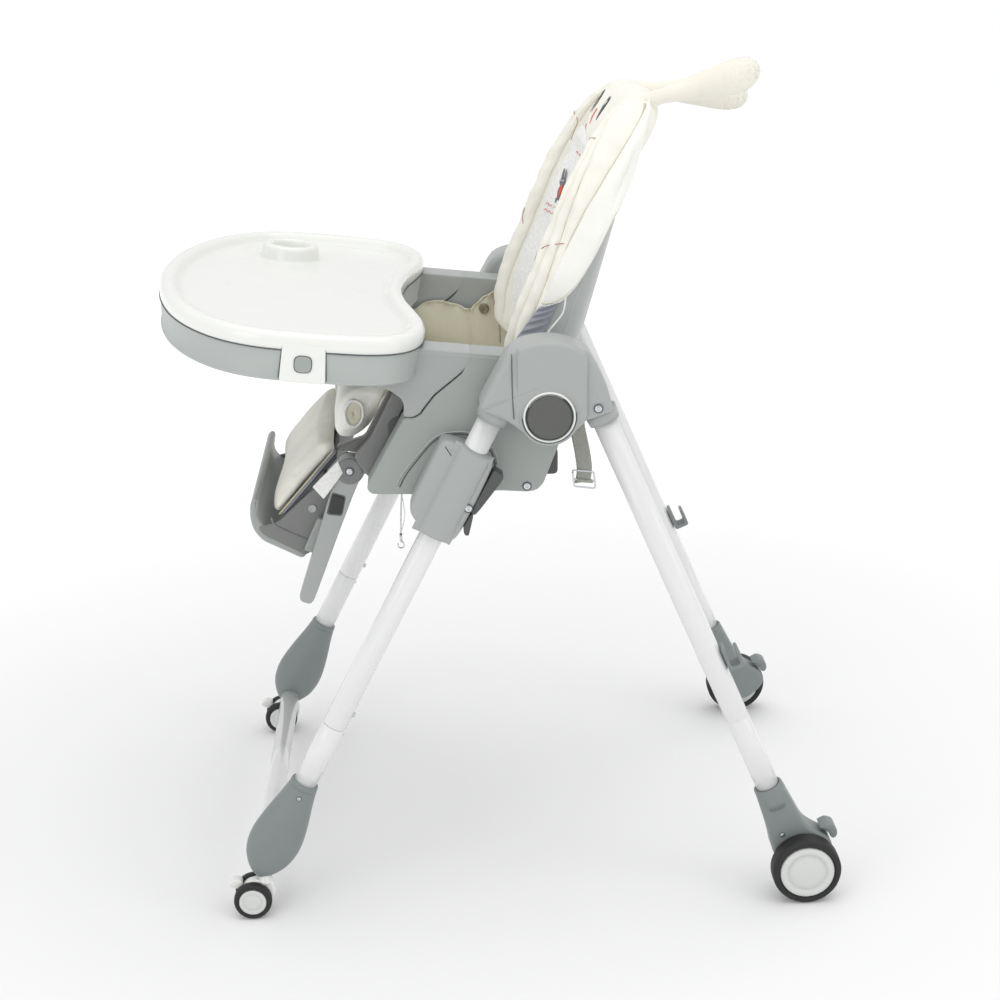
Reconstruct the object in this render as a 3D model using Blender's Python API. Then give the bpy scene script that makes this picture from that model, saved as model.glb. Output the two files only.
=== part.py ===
"""A folding baby high chair on two front casters and two fixed rear wheels.

Metres, +Z up.  The chair faces -Y and its left side is +X.  The origin lies on the floor, midway
between the front of the tray and the back of the rear wheels.  Side views are given as (y, z) pairs.
"""
import math

import bpy
import bmesh
import numpy as np
from mathutils import Matrix, Vector

# ---------------------------------------------------------------- clearances and walls
GAP = 0.0003          # between pieces that touch
RUN = 0.0004          # radial clearance of a running fit
SLIDE_FIT = 0.0005    # clearance of a sliding fit
SIDES = 24            # facets round a tube

# ---------------------------------------------------------------- stance
HALF_LENGTH = 0.430                   # tray front to origin, and wheel rear to origin
LEG_X = 0.2625                        # middle of each leg
WHEEL_R = 0.0445
WHEEL_W = 0.026
WHEEL_X = LEG_X + 0.0291              # middle of the tread
TYRE_THICK = 0.0095
AXLE_R = 0.0045
WHEEL_Y = HALF_LENGTH - WHEEL_R
CASTER_R = 0.0245
CASTER_DISC_W = 0.0115                # each of the twin wheels
CASTER_BODY_W = 0.016
CASTER_X = LEG_X + 0.0090
CASTER_Y = -0.327
CASTER_TRAIL = 0.016                  # stem ahead of or behind the axle
CASTER_AXLE_R = 0.0035
STEM_R = 0.0050

# ---------------------------------------------------------------- legs
LEG_R = 0.015
LEG_WALL = 0.0014
FRONT_TOP = (-0.006, 0.6548)          # where the front leg leaves the hub
FRONT_ANGLE = math.radians(27.5)      # lean from the vertical
FRONT_SEAM = 0.4474                   # along the leg from FRONT_TOP
FRONT_COLLAR = 0.5354
FRONT_SOCKET = 0.036                  # depth of leg inside the hub
REAR_TOP = (0.1273, 0.6498)
REAR_END = (WHEEL_Y - 0.04476, WHEEL_R + 0.10003)   # where the rear leg enters its foot
REAR_ANGLE = math.atan2(REAR_END[0] - REAR_TOP[0], REAR_TOP[1] - REAR_END[1])
REAR_COLLAR = math.hypot(REAR_END[0] - REAR_TOP[0], REAR_TOP[1] - REAR_END[1])
REAR_SOCKET = 0.040
COLLAR_GRIP = 0.022                   # how far a leg goes into a foot
CROSS_R = 0.0135
CROSS_AT = (-0.3110, 0.0640)

# ---------------------------------------------------------------- hub
HUB = (0.0605, 0.6633)                # axis of the fold
HUB_IN = LEG_X - 0.0200
HUB_SKIN = LEG_X + 0.0220             # inner face of the outer skin
HUB_OUT = LEG_X + 0.0375
HUB_BOSS_R = 0.0354
HUB_CORE_R = 0.0255
HUB_PLATE_R = 0.033
HUB_PLATE_T = 0.0072
HUB_PIN_R = 0.0078
BUTTON_R = 0.0264
BUTTON_PROUD = 0.0055
BUTTON_TRAVEL = 0.004
REAR_HUB_OUT = LEG_X + 0.0295

# ---------------------------------------------------------------- seat
SIDE_IN = 0.1920
SIDE_OUT = 0.2355
SLIDER_OUT = LEG_X + 0.0225
RAIL_TILT = math.radians(6.5)         # arm rails and tray rise towards the front
RAIL_AT = (-0.08, 0.7331)             # a point on the rails' top
RAIL_FRONT = -0.275
SEAT_HALF = SIDE_IN - 0.0006
SEAT_Z = 0.556
PAN_WALL = 0.0050
CUSHION_HALF = 0.178

# ---------------------------------------------------------------- legrest
KNEE = (-0.1823, 0.5653)              # legrest pivot
KNEE_R = 0.0186
ARM_X0 = 0.1622
ARM_X1 = 0.1782
ARM_ANGLE = math.radians(20.2)
ARM_LENGTH = 0.187
LUG_X0 = 0.1470
PAD_ANGLE = math.radians(41.5)        # lean of the calf board from the vertical
PAD_HALF = 0.1440
PAD_OFFSET = 0.0217                   # calf cushion's rear face from the pivot
PAD_THICK = 0.0205
PAD_LENGTH = 0.120
BOARD_THICK = 0.0045
FOOT_HALF = 0.1500

# ---------------------------------------------------------------- back
BACK_AT = (0.0905, 0.6300)            # bottom of the shell's rear face
BACK_ANGLE = math.radians(16.3)
SHELL_T = 0.0050
BACK_PAD_T = 0.0240
EAR_X = 0.078

# ---------------------------------------------------------------- tray, in its own tilted frame
TRAY_AT = (-0.250, 0.7757)            # origin of the tray frame, on the rim's top
TRAY_SKIRT = 0.0200                   # white rim's height
TRAY_DEEP = 0.0580                    # rim's top to the base's bottom
TRAY_FLOOR = 0.0130
TRAY_WALL = 0.0026
TRAY_DECK = 0.0020
BASE_INSET = 0.0016
BASE_DRAFT = 0.0042                   # taper of the base down to its bottom edge
TAB_HALF = 0.0250
TAB_Y = 0.0300                        # middle of the white tab, in the tray frame
TRAY_BUTTON_R = 0.0108
TRAY_BUTTON_W = -0.0350
CUP_AT = (-0.1825, -0.016)
CUP_BASE_R = 0.0490
CUP_WELL_R = 0.0285
CUP_RISE = 0.0060
POST_Y = 0.0830                       # crotch post, in the tray frame
POST_DROP = 0.1520

X_AXIS = Vector((1, 0, 0))


# ================================================================ helpers
def clear_scene():
    for thing in list(bpy.data.objects):
        bpy.data.objects.remove(thing, do_unlink=True)


def material(name, colour, roughness, metallic=0.0):
    made = bpy.data.materials.new(name)
    made.use_nodes = True
    shader = made.node_tree.nodes["Principled BSDF"]
    shader.inputs["Base Color"].default_value = (*colour, 1)
    shader.inputs["Roughness"].default_value = roughness
    shader.inputs["Metallic"].default_value = metallic
    made.diffuse_color = (*colour, 1)
    return made


def finish_mesh(name, bm, finish, smooth=True):
    """Makes an object of a bmesh, with its faces pointing out."""
    bmesh.ops.remove_doubles(bm, verts=bm.verts, dist=1e-6)
    bmesh.ops.recalc_face_normals(bm, faces=bm.faces)
    mesh = bpy.data.meshes.new(name)
    bm.to_mesh(mesh)
    bm.free()
    made = bpy.data.objects.new(name, mesh)
    bpy.context.scene.collection.objects.link(made)
    if finish is not None:
        mesh.materials.append(finish)
    if smooth:
        mesh.shade_smooth()
        mesh.set_sharp_from_angle(angle=math.radians(35))
    return made


def loft(name, rings, finish, smooth=True, closed=False):
    """Skins a row of rings of equal length; an open row gets a cap at each end."""
    bm = bmesh.new()
    rows = [[bm.verts.new(p) for p in ring] for ring in rings]
    count = len(rows[0])
    pairs = list(zip(rows, rows[1:]))
    if closed:
        pairs.append((rows[-1], rows[0]))
    for low, high in pairs:
        for i in range(count):
            j = (i + 1) % count
            bm.faces.new((low[i], low[j], high[j], high[i]))
    if not closed:
        bm.faces.new(rows[0])
        bm.faces.new(rows[-1])
    return finish_mesh(name, bm, finish, smooth)


def circle(centre, axis, radius, sides=SIDES):
    """Points round a circle about an axis."""
    axis = Vector(axis).normalized()
    across = axis.orthogonal().normalized()
    if abs(axis.x) < 0.5:
        across = axis.cross(X_AXIS).normalized()
    other = axis.cross(across)
    turns = [2 * math.pi * (i + 0.5) / sides for i in range(sides)]
    return [Vector(centre) + radius * (math.cos(a) * across + math.sin(a) * other) for a in turns]


def rod(name, start, end, radius, finish, sides=SIDES):
    axis = Vector(end) - Vector(start)
    return loft(name, [circle(start, axis, radius, sides), circle(end, axis, radius, sides)], finish)


def pipe(name, start, end, radius, wall, finish, sides=SIDES):
    """A hollow tube with open ends."""
    axis = Vector(end) - Vector(start)
    rings = [circle(start, axis, radius, sides), circle(end, axis, radius, sides),
             circle(end, axis, radius - wall, sides), circle(start, axis, radius - wall, sides)]
    return loft(name, rings, finish, closed=True)


def turned(name, centre, axis, profile, finish, sides=SIDES, closed=True):
    """A body of revolution: profile holds (distance along the axis, radius) pairs."""
    axis = Vector(axis).normalized()
    rings = [circle(Vector(centre) + along * axis, axis, radius, sides) for along, radius in profile]
    return loft(name, rings, finish, closed=closed)


def side_prism(name, outline, x0, x1, finish, smooth=False):
    """A side-view outline of (y, z) points carried from x0 to x1."""
    rings = [[Vector((x, y, z)) for y, z in outline] for x in (x0, x1)]
    return loft(name, rings, finish, smooth)


def combine(target, tool, how):
    """Applies one solid to another with a Boolean that stays on the target."""
    step = target.modifiers.new(how.lower() + "_" + tool.name, "BOOLEAN")
    step.operation = how
    step.solver = "EXACT"
    step.object = tool
    tool.hide_render = True
    tool.display_type = "WIRE"


def cut(target, tool):
    combine(target, tool, "DIFFERENCE")


def join(target, tool):
    combine(target, tool, "UNION")


def arc(centre, radius, start, end, count):
    """Points on a side-view arc, angles in degrees from +y towards +z."""
    turns = np.radians(np.linspace(start, end, count))
    return [(centre[0] + radius * math.cos(a), centre[1] + radius * math.sin(a)) for a in turns]


def along(start, angle, distance, across=0.0, forward=-1):
    """A side-view point down a leaning line; across is measured towards the rear."""
    down = (forward * math.sin(angle), -math.cos(angle))
    rear = (math.cos(angle), forward * math.sin(angle))
    return (start[0] + distance * down[0] + across * rear[0],
            start[1] + distance * down[1] + across * rear[1])


def front_leg_point(distance, across=0.0):
    return along(FRONT_TOP, FRONT_ANGLE, distance, across)


def rear_leg_point(distance, across=0.0):
    return along(REAR_TOP, REAR_ANGLE, distance, across, forward=1)


def at_x(x, side_point):
    return Vector((x, side_point[0], side_point[1]))


def tray_point(x, y, w):
    """From the tray frame, where w is up from the rim, to the chair's."""
    lean = Matrix.Rotation(-RAIL_TILT, 4, "X")
    return lean @ Vector((x, y, w)) + Vector((0, TRAY_AT[0], TRAY_AT[1]))


def rail_top(y):
    return RAIL_AT[1] - (y - RAIL_AT[0]) * math.tan(RAIL_TILT)


def smooth_ring(points, per_span):
    """A closed Catmull-Rom curve through the points."""
    pts = np.array(points, float)
    before, after, later = np.roll(pts, 1, 0), np.roll(pts, -1, 0), np.roll(pts, -2, 0)
    t = np.linspace(0, 1, per_span, endpoint=False)[:, None, None]
    curve = 0.5 * (2 * pts + (after - before) * t + (2 * before - 5 * pts + 4 * after - later) * t ** 2
                   + (3 * pts - before - 3 * after + later) * t ** 3)
    return curve.transpose(1, 0, 2).reshape(-1, pts.shape[1])


def inset_ring(ring, distance):
    """Moves a closed anticlockwise plan outline inwards by a distance."""
    step = np.roll(ring, -1, 0) - np.roll(ring, 1, 0)
    step /= np.linalg.norm(step, axis=1)[:, None]
    return ring + distance * np.stack([-step[:, 1], step[:, 0]], 1)


# ================================================================ frame
def front_frame(side, tag, paint, grey):
    x = side * LEG_X
    top = at_x(x, front_leg_point(-FRONT_SOCKET + GAP))
    seam = at_x(x, front_leg_point(FRONT_SEAM))
    below = at_x(x, front_leg_point(FRONT_SEAM + GAP))
    foot_end = at_x(x, front_leg_point(FRONT_COLLAR + COLLAR_GRIP))
    pipe("front_leg_" + tag, top, seam, LEG_R, LEG_WALL, paint)
    pipe("front_lower_leg_" + tag, below, foot_end, LEG_R, LEG_WALL, paint)

    # The foot is leaf-shaped in side view: (distance below the collar, half width, half thickness).
    stations = [(0.0, 0.0175, 0.0175), (0.025, 0.0225, 0.0195), (0.055, 0.0290, 0.0215),
                (0.085, 0.0335, 0.0220), (0.110, 0.0315, 0.0215), (0.130, 0.0240, 0.0200),
                (0.1430, 0.0110, 0.0150)]
    turns = [2 * math.pi * i / SIDES for i in range(SIDES)]
    rings = []
    for distance, wide, thick in stations:
        ring = []
        for a in turns:
            point = front_leg_point(FRONT_COLLAR + distance, wide * math.cos(a))
            ring.append(Vector((x + thick * math.sin(a), *point)))
        rings.append(ring)
    foot = loft("front_foot_" + tag, rings, grey)
    bore_end = at_x(x, front_leg_point(FRONT_COLLAR + COLLAR_GRIP + GAP))
    bore_start = at_x(x, front_leg_point(FRONT_COLLAR - 0.01))
    cut(foot, rod("foot_bore_" + tag, bore_start, bore_end, LEG_R + GAP, None))
    stem = Vector((side * CASTER_X, CASTER_Y + CASTER_TRAIL, 0.0))
    seat_top = stem + Vector((0, 0, 0.0500))
    cut(foot, rod("foot_underside_" + tag, stem, seat_top, 0.0220, None, 16))
    cut(foot, rod("stem_bore_" + tag, stem, stem + Vector((0, 0, 0.0765)), STEM_R + RUN, None, 16))
    cross_in = at_x(side * (LEG_X - 0.014 - GAP), CROSS_AT)
    cut(foot, rod("cross_bore_" + tag, at_x(0.1 * side, CROSS_AT), cross_in, CROSS_R + GAP, None))


def hub(side, tag, light, dark):
    """Housing on the front leg, its fold button, and the rear leg's half that turns in it."""
    skin = [(-0.0200, 0.6770), (0.0143, 0.7412), (0.0320, 0.7500), (0.0605, 0.7544), (0.0850, 0.7512),
            (0.1045, 0.7420), (0.1045, 0.6560)]
    skin += arc(HUB, HUB_BOSS_R, -28, -152, 11) + [(0.0116, 0.6578)]
    housing = side_prism("hub_housing_" + tag, skin, side * HUB_SKIN, side * HUB_OUT, light)
    block = [(-0.0200, 0.6770), (0.0143, 0.7412), (0.0270, 0.7470), (0.0270, 0.7000), (0.0265, 0.6690),
             (0.0116, 0.6578)]
    join(housing, side_prism("hub_block_" + tag, block, side * HUB_IN, side * (HUB_SKIN + 0.001), None))
    plate_end = HUB_IN + HUB_PLATE_T
    core = [(plate_end + GAP, HUB_CORE_R), (HUB_SKIN + 0.002, HUB_CORE_R)]
    join(housing, turned("hub_core_" + tag, at_x(0, HUB), X_AXIS * side, core, None, closed=False))
    pin = [(HUB_IN + GAP, HUB_PIN_R), (plate_end + 0.002, HUB_PIN_R)]
    join(housing, turned("hub_pin_" + tag, at_x(0, HUB), X_AXIS * side, pin, None, 16, False))
    pocket = [(HUB_OUT - 0.0140, BUTTON_R + SLIDE_FIT), (HUB_OUT + 0.01, BUTTON_R + SLIDE_FIT)]
    cut(housing, turned("button_pocket_" + tag, at_x(0, HUB), X_AXIS * side, pocket, None, 32, False))
    socket_low = at_x(side * LEG_X, front_leg_point(0.03))
    socket_high = at_x(side * LEG_X, front_leg_point(-FRONT_SOCKET))
    cut(housing, rod("front_socket_" + tag, socket_low, socket_high, LEG_R + GAP, None))

    face = HUB_OUT + BUTTON_PROUD
    foot = HUB_OUT - 0.0140 + BUTTON_TRAVEL + GAP
    shape = [(foot, BUTTON_R), (face - 0.002, BUTTON_R), (face, BUTTON_R - 0.002)]
    turned("fold_button_" + tag, at_x(0, HUB), X_AXIS * side, shape, dark, 32, False)

    wing = [(0.1075, 0.7370), (0.1290, 0.6960), (0.1362, 0.6675), (0.1345, 0.6645), (0.1105, 0.6546),
            (0.1075, 0.6546)]
    rear = side_prism("rear_hub_" + tag, wing, side * 0.2500, side * REAR_HUB_OUT, light)
    inner = [(0.0895, 0.7400), (0.1060, 0.7395), (0.1290, 0.6960), (0.1362, 0.6675), (0.1345, 0.6645),
             (0.1105, 0.6546), (0.0905, 0.6510)]
    join(rear, side_prism("rear_block_" + tag, inner, side * HUB_IN, side * (HUB_SKIN - 0.0008), None))
    plate = [(HUB_IN, HUB_PLATE_R), (plate_end, HUB_PLATE_R)]
    join(rear, turned("rear_plate_" + tag, at_x(0, HUB), X_AXIS * side, plate, None, 32, False))
    hole = [(HUB_IN - 0.01, HUB_PIN_R + RUN), (HUB_IN + 0.02, HUB_PIN_R + RUN)]
    cut(rear, turned("pin_hole_" + tag, at_x(0, HUB), X_AXIS * side, hole, None, 16, False))
    socket_low = at_x(side * LEG_X, rear_leg_point(0.03))
    socket_high = at_x(side * LEG_X, rear_leg_point(-REAR_SOCKET))
    cut(rear, rod("rear_socket_" + tag, socket_low, socket_high, LEG_R + GAP, None))


def rear_frame(side, tag, paint, grey, dark, white):
    x = side * LEG_X
    top = at_x(x, rear_leg_point(-REAR_SOCKET + GAP))
    end = at_x(x, rear_leg_point(REAR_COLLAR + COLLAR_GRIP))
    pipe("rear_leg_" + tag, top, end, LEG_R, LEG_WALL, paint)

    # A J-shaped clip on the back of the leg, where the tray hangs when it is not in use.
    hook_top = 0.3350
    hook_high = 0.0340
    near, wall, reach = LEG_R + GAP, 0.0050, 0.0210
    outline = [(0, near), (hook_high, near), (hook_high, near + reach), (0.008, near + reach),
               (0.008, near + reach - wall), (hook_high - wall, near + reach - wall),
               (hook_high - wall, near + wall), (0, near + wall)]
    side_view = [rear_leg_point(hook_top + d, n) for d, n in outline]
    side_prism("tray_hook_" + tag, side_view, side * (LEG_X - 0.012), side * (LEG_X + 0.012), grey)

    foot_in, foot_out = side * (LEG_X - 0.0185), side * (WHEEL_X - WHEEL_W / 2 - RUN)
    collar = [rear_leg_point(REAR_COLLAR - 0.004, n) for n in (0.0185, -0.0185)]
    around = [(-0.0465, 0.0455), (-0.0385, 0.0115), (-0.0255, -0.0035), (-0.0095, -0.0095),
              (0.0095, -0.0095), (0.0325, 0.0075), (0.0380, 0.0195), (0.0285, 0.0375),
              (0.0105, 0.0455), (-0.0055, 0.0565)]
    below = [(WHEEL_Y + y, WHEEL_R + z) for y, z in around]
    foot = side_prism("rear_foot_" + tag, collar + below, foot_in, foot_out, grey)
    socket_end = at_x(x, rear_leg_point(REAR_COLLAR + COLLAR_GRIP + GAP))
    socket_top = at_x(x, rear_leg_point(REAR_COLLAR - 0.03))
    cut(foot, rod("rear_foot_bore_" + tag, socket_top, socket_end, LEG_R + GAP, None))
    axle = (WHEEL_Y, WHEEL_R)
    stub = [(abs(foot_in) + 0.004, AXLE_R), (WHEEL_X + 0.007, AXLE_R)]
    join(foot, turned("axle_stub_" + tag, at_x(0, axle), X_AXIS * side, stub, None, 16, False))

    half = WHEEL_W / 2
    rim_r = WHEEL_R - TYRE_THICK
    tread = [(-half, rim_r), (-half, WHEEL_R - 0.003), (-half + 0.004, WHEEL_R), (half - 0.004, WHEEL_R),
             (half, WHEEL_R - 0.003), (half, rim_r)]
    centre = at_x(side * WHEEL_X, axle)
    turned("rear_tyre_" + tag, centre, X_AXIS * side, tread, dark, 36)
    disc_r = rim_r - GAP
    disc = [(-half, disc_r), (half - 0.002, disc_r), (half + 0.0005, disc_r - 0.006)]
    cap = turned("rear_hubcap_" + tag, centre, X_AXIS * side, disc, white, 36, False)
    bore = [(-half - 0.01, AXLE_R + RUN), (0.0075, AXLE_R + RUN)]
    cut(cap, turned("hubcap_bore_" + tag, centre, X_AXIS * side, bore, None, 16, False))

    pedal = [(0.0215, 0.0460), (0.0345, 0.0520), (0.0407, 0.0455),
             (0.0395, 0.0355), (0.0335, 0.0345)]
    pedal = [(WHEEL_Y + y, WHEEL_R + z) for y, z in pedal]
    side_prism("rear_brake_" + tag, pedal, side * (LEG_X - 0.0105), side * (LEG_X + 0.0115), grey)


def caster(side, tag, white, dark):
    """Twin wheels on one axle, a housing between them with its stem, and a brake lever."""
    axle = Vector((side * CASTER_X, CASTER_Y, CASTER_R))
    stem = Vector((side * CASTER_X, CASTER_Y + CASTER_TRAIL, 0))
    half_body = CASTER_BODY_W / 2
    half = half_body + GAP + CASTER_DISC_W
    wheel = [(-half, CASTER_R - 0.002), (-half + 0.002, CASTER_R), (-half_body - GAP, CASTER_R),
             (-half_body - GAP, CASTER_AXLE_R), (half_body + GAP, CASTER_AXLE_R),
             (half_body + GAP, CASTER_R), (half - 0.002, CASTER_R), (half, CASTER_R - 0.002)]
    turned("caster_wheel_" + tag, axle, X_AXIS, wheel, dark, 28, False)
    body = [(CASTER_Y - 0.016, 0.0190), (CASTER_Y + 0.010, 0.0100), (CASTER_Y + 0.022, 0.0180),
            (CASTER_Y + 0.028, 0.0300), (CASTER_Y + 0.028, 0.0490), (CASTER_Y + 0.004, 0.0490),
            (CASTER_Y - 0.010, 0.0440), (CASTER_Y - 0.018, 0.0330)]
    x0, x1 = side * CASTER_X - half_body, side * CASTER_X + half_body
    fork = side_prism("caster_fork_" + tag, body, x0, x1, white)
    join(fork, rod("caster_stem_" + tag, stem + Vector((0, 0, 0.045)), stem + Vector((0, 0, 0.0760)),
                   STEM_R, None, 16))
    cut(fork, rod("caster_bore_" + tag, axle - 0.05 * X_AXIS, axle + 0.05 * X_AXIS,
                  CASTER_AXLE_R + RUN, None, 16))
    lever = [(CASTER_Y - 0.0190, 0.0380), (CASTER_Y - 0.0125, 0.0452), (CASTER_Y - 0.0190, 0.0500),
             (CASTER_Y - 0.0285, 0.0465), (CASTER_Y - 0.0290, 0.0430)]
    side_prism("caster_brake_" + tag, lever, x0 + 0.001, x1 - 0.001, white)


# ================================================================ seat
# Where the arm's front cover meets the side panel, from the rail's top down to the front edge.
SEAM = [(-0.0398, 0.7037), (-0.0484, 0.6966), (-0.0742, 0.6762), (-0.0879, 0.6591), (-0.0918, 0.6530),
        (-0.1016, 0.6483), (-0.1150, 0.6520)]
SEAM_TOP_Y = -0.0245


def seat_side(side, tag, grey, light):
    rear_y = 0.0880
    panel = [(SEAM_TOP_Y + 2 * GAP, rail_top(SEAM_TOP_Y))]
    panel += [(y + 2 * GAP, z - 2 * GAP) for y, z in SEAM]
    panel += [(-0.1591, 0.5640), (-0.1590, 0.5570), (-0.1530, 0.5524), (-0.1000, 0.5505), (0.0040, 0.5520),
              (0.0371, 0.5493), (0.0480, 0.5510), (0.0560, 0.5590), (rear_y, 0.6400), (rear_y, 0.7020),
              (0.0700, rail_top(0.0700))]
    side_prism("seat_side_" + tag, panel, side * SIDE_IN, side * SIDE_OUT, grey)
    cover = [(SEAM_TOP_Y, rail_top(SEAM_TOP_Y))] + SEAM
    cover += [(-0.1105, 0.6640), (-0.1140, 0.6730), (-0.1263, 0.6825), (-0.1600, 0.6960),
              (-0.2600, 0.7260), (RAIL_FRONT, 0.7330), (RAIL_FRONT, rail_top(RAIL_FRONT))]
    side_prism("arm_cover_" + tag, cover, side * SIDE_IN, side * SIDE_OUT, light)


def height_slider(side, tag, light, dark):
    """The housing that runs on the front leg, and its squeeze lever."""
    outline = [(0.0475, -0.0400), (0.0432, -0.0140), (0.0414, 0.0118), (0.0482, 0.0279), (0.1060, 0.0301),
               (0.1563, 0.0286), (0.1660, 0.0180), (0.1681, 0.0002), (0.1527, -0.0353), (0.1380, -0.0420),
               (0.0560, -0.0430)]
    view = [front_leg_point(d, n) for d, n in outline]
    body = side_prism("height_slider_" + tag, view, side * (SIDE_OUT + GAP), side * SLIDER_OUT, light)
    low = at_x(side * LEG_X, front_leg_point(0.02))
    high = at_x(side * LEG_X, front_leg_point(0.20))
    cut(body, rod("slider_bore_" + tag, low, high, LEG_R + SLIDE_FIT, None))
    slot = [front_leg_point(d, n) for d, n in ((0.0560, 0.0220), (0.1500, 0.0220), (0.1500, 0.0400),
                                               (0.0560, 0.0400))]
    cut(body, side_prism("lever_slot_" + tag, slot, side * 0.2530, side * 0.2730, None))
    lever = [(0.0590, 0.0310), (0.0600, 0.0440), (0.1080, 0.0365), (0.1220, 0.0360), (0.1455, 0.0390),
             (0.1456, 0.0325), (0.1220, 0.0290), (0.1080, 0.0290)]
    view = [front_leg_point(d, n) for d, n in lever]
    side_prism("height_lever_" + tag, view, side * 0.2540, side * 0.2720, dark)


def seat_pan(grey, cloth):
    pan = [(-0.1350, SEAT_Z), (0.0780, SEAT_Z), (0.0780, 0.5900), (0.0700, 0.5900), (0.0600, 0.5840),
           (-0.0500, 0.5840), (-0.0900, 0.6060), (-0.1120, 0.6380), (-0.1250, 0.6400), (-0.1350, 0.6300)]
    body = side_prism("seat_pan", pan, -SEAT_HALF, SEAT_HALF, grey)
    hollow = [(-0.1290, SEAT_Z - 0.01), (0.0730, SEAT_Z - 0.01), (0.0730, 0.5790), (-0.0560, 0.5790),
              (-0.0930, 0.6000), (-0.1150, 0.6300), (-0.1290, 0.6200)]
    cut(body, side_prism("pan_hollow", hollow, -SEAT_HALF + PAN_WALL, SEAT_HALF - PAN_WALL, None))
    for side, tag in ((1, "left"), (-1, "right")):
        cheek = [(-0.1300, 0.6000), (-0.1150, 0.6550), (-0.1290, 0.6680), (-0.1720, 0.5980),
                 (-0.1580, 0.5900)]
        join(body, side_prism("pan_cheek_" + tag, cheek, side * 0.1800, side * SEAT_HALF, None))
        lug = [(-0.1300, 0.5600), (-0.1300, 0.6000), (-0.1560, 0.5920)]
        lug += arc(KNEE, 0.0165, 80, 250, 9)
        join(body, side_prism("pan_lug_" + tag, lug, side * LUG_X0, side * (ARM_X0 - RUN), None))
    cushion = [(-0.1560, 0.6130), (-0.1365, 0.6120), (-0.1360, 0.6420), (-0.1240, 0.6415), (-0.1110, 0.6400),
               (-0.0890, 0.6080), (-0.0490, 0.5845), (0.0580, 0.5845), (0.0600, 0.6080), (-0.0400, 0.6110),
               (-0.0760, 0.6280), (-0.1040, 0.6600), (-0.1250, 0.6650), (-0.1460, 0.6520)]
    side_prism("seat_cushion", cushion, -CUSHION_HALF, CUSHION_HALF, cloth)


# ================================================================ legrest
def leg_pad_point(down, out):
    """Down the calf board from the knee, and out from it towards the front."""
    d = (-math.sin(PAD_ANGLE), -math.cos(PAD_ANGLE))
    n = (-math.cos(PAD_ANGLE), math.sin(PAD_ANGLE))
    return (KNEE[0] + down * d[0] + out * n[0], KNEE[1] + down * d[1] + out * n[1])


def legrest(grey, light, dark, cloth):
    for side, tag in ((1, "left"), (-1, "right")):
        outline = arc(KNEE, KNEE_R, 200, -40, 17)
        for distance, half in ((0.030, 0.0128), (ARM_LENGTH - 0.006, 0.0098), (ARM_LENGTH, 0.0060)):
            outline.append(along(KNEE, ARM_ANGLE, distance, half))
        for distance, half in ((ARM_LENGTH, -0.0060), (ARM_LENGTH - 0.006, -0.0098), (0.030, -0.0128)):
            outline.append(along(KNEE, ARM_ANGLE, distance, half))
        arm = side_prism("legrest_arm_" + tag, outline, side * ARM_X0, side * ARM_X1, light)
        window = [along(KNEE, ARM_ANGLE, d, n) for d, n in ((0.0340, -0.0085), (0.0340, 0.0085),
                                                            (0.0620, 0.0085), (0.0620, -0.0085))]
        cut(arm, side_prism("button_window_" + tag, window, side * (ARM_X1 - 0.0080),
                            side * (ARM_X1 + 0.01), None))
        catch = [along(KNEE, ARM_ANGLE, d, n) for d, n in ((0.0345, -0.0080), (0.0345, 0.0080),
                                                           (0.0615, 0.0080), (0.0615, -0.0080))]
        side_prism("legrest_button_" + tag, catch, side * (ARM_X1 - 0.0042), side * (ARM_X1 + 0.0012), dark)

    board = [(0.0060, PAD_OFFSET - 0.0008), (0.1100, PAD_OFFSET - 0.0008),
             (0.1100, PAD_OFFSET - 0.0008 - BOARD_THICK), (0.0060, PAD_OFFSET - 0.0008 - BOARD_THICK)]
    view = [leg_pad_point(d, n) for d, n in board]
    body = side_prism("calf_board", view, -PAD_HALF, PAD_HALF, dark)
    for side, tag in ((1, "left"), (-1, "right")):
        ear = [(0.0280, 0.0200), (0.0400, 0.0200), (0.0400, 0.0030), (0.0280, 0.0030)]
        view = [leg_pad_point(d, n) for d, n in ear]
        join(body, side_prism("board_bracket_" + tag, view, side * (PAD_HALF - 0.006),
                              side * (ARM_X0 - GAP), None))
    low, high = PAD_OFFSET, PAD_OFFSET + PAD_THICK
    pad = [(0.0030, low), (0.0020, low + 0.010), (0.0060, high), (PAD_LENGTH - 0.012, high),
           (PAD_LENGTH - 0.002, high - 0.006), (PAD_LENGTH, low + 0.008), (PAD_LENGTH - 0.010, low)]
    view = [leg_pad_point(d, n) for d, n in pad]
    side_prism("calf_cushion", view, -PAD_HALF, PAD_HALF, cloth)

    plate = [(-0.2480, 0.4400), (-0.2975, 0.4670), (-0.3085, 0.4790), (-0.3125, 0.4950), (-0.3110, 0.5150),
             (-0.3060, 0.5230), (-0.3010, 0.5200), (-0.3030, 0.4990), (-0.2960, 0.4860), (-0.2385, 0.4550)]
    foot = side_prism("foot_plate", plate, -FOOT_HALF, FOOT_HALF, grey)
    for side, tag in ((1, "left"), (-1, "right")):
        cheek = [(-0.2480, 0.4480), (-0.2960, 0.4750), (-0.3040, 0.4900), (-0.3030, 0.5080),
                 (-0.2200, 0.5380), (-0.2080, 0.5280), (-0.2350, 0.4530)]
        join(foot, side_prism("foot_cheek_" + tag, cheek, side * (PAD_HALF + 0.0008), side * FOOT_HALF, None))
        guide = [along(KNEE, ARM_ANGLE, d, n) for d, n in ((0.0780, -0.0160), (0.0780, 0.0060),
                                                           (0.1180, 0.0060), (0.1180, -0.0200))]
        join(foot, side_prism("foot_guide_" + tag, guide, side * (FOOT_HALF - 0.004),
                              side * (ARM_X0 - GAP), None))


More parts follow.
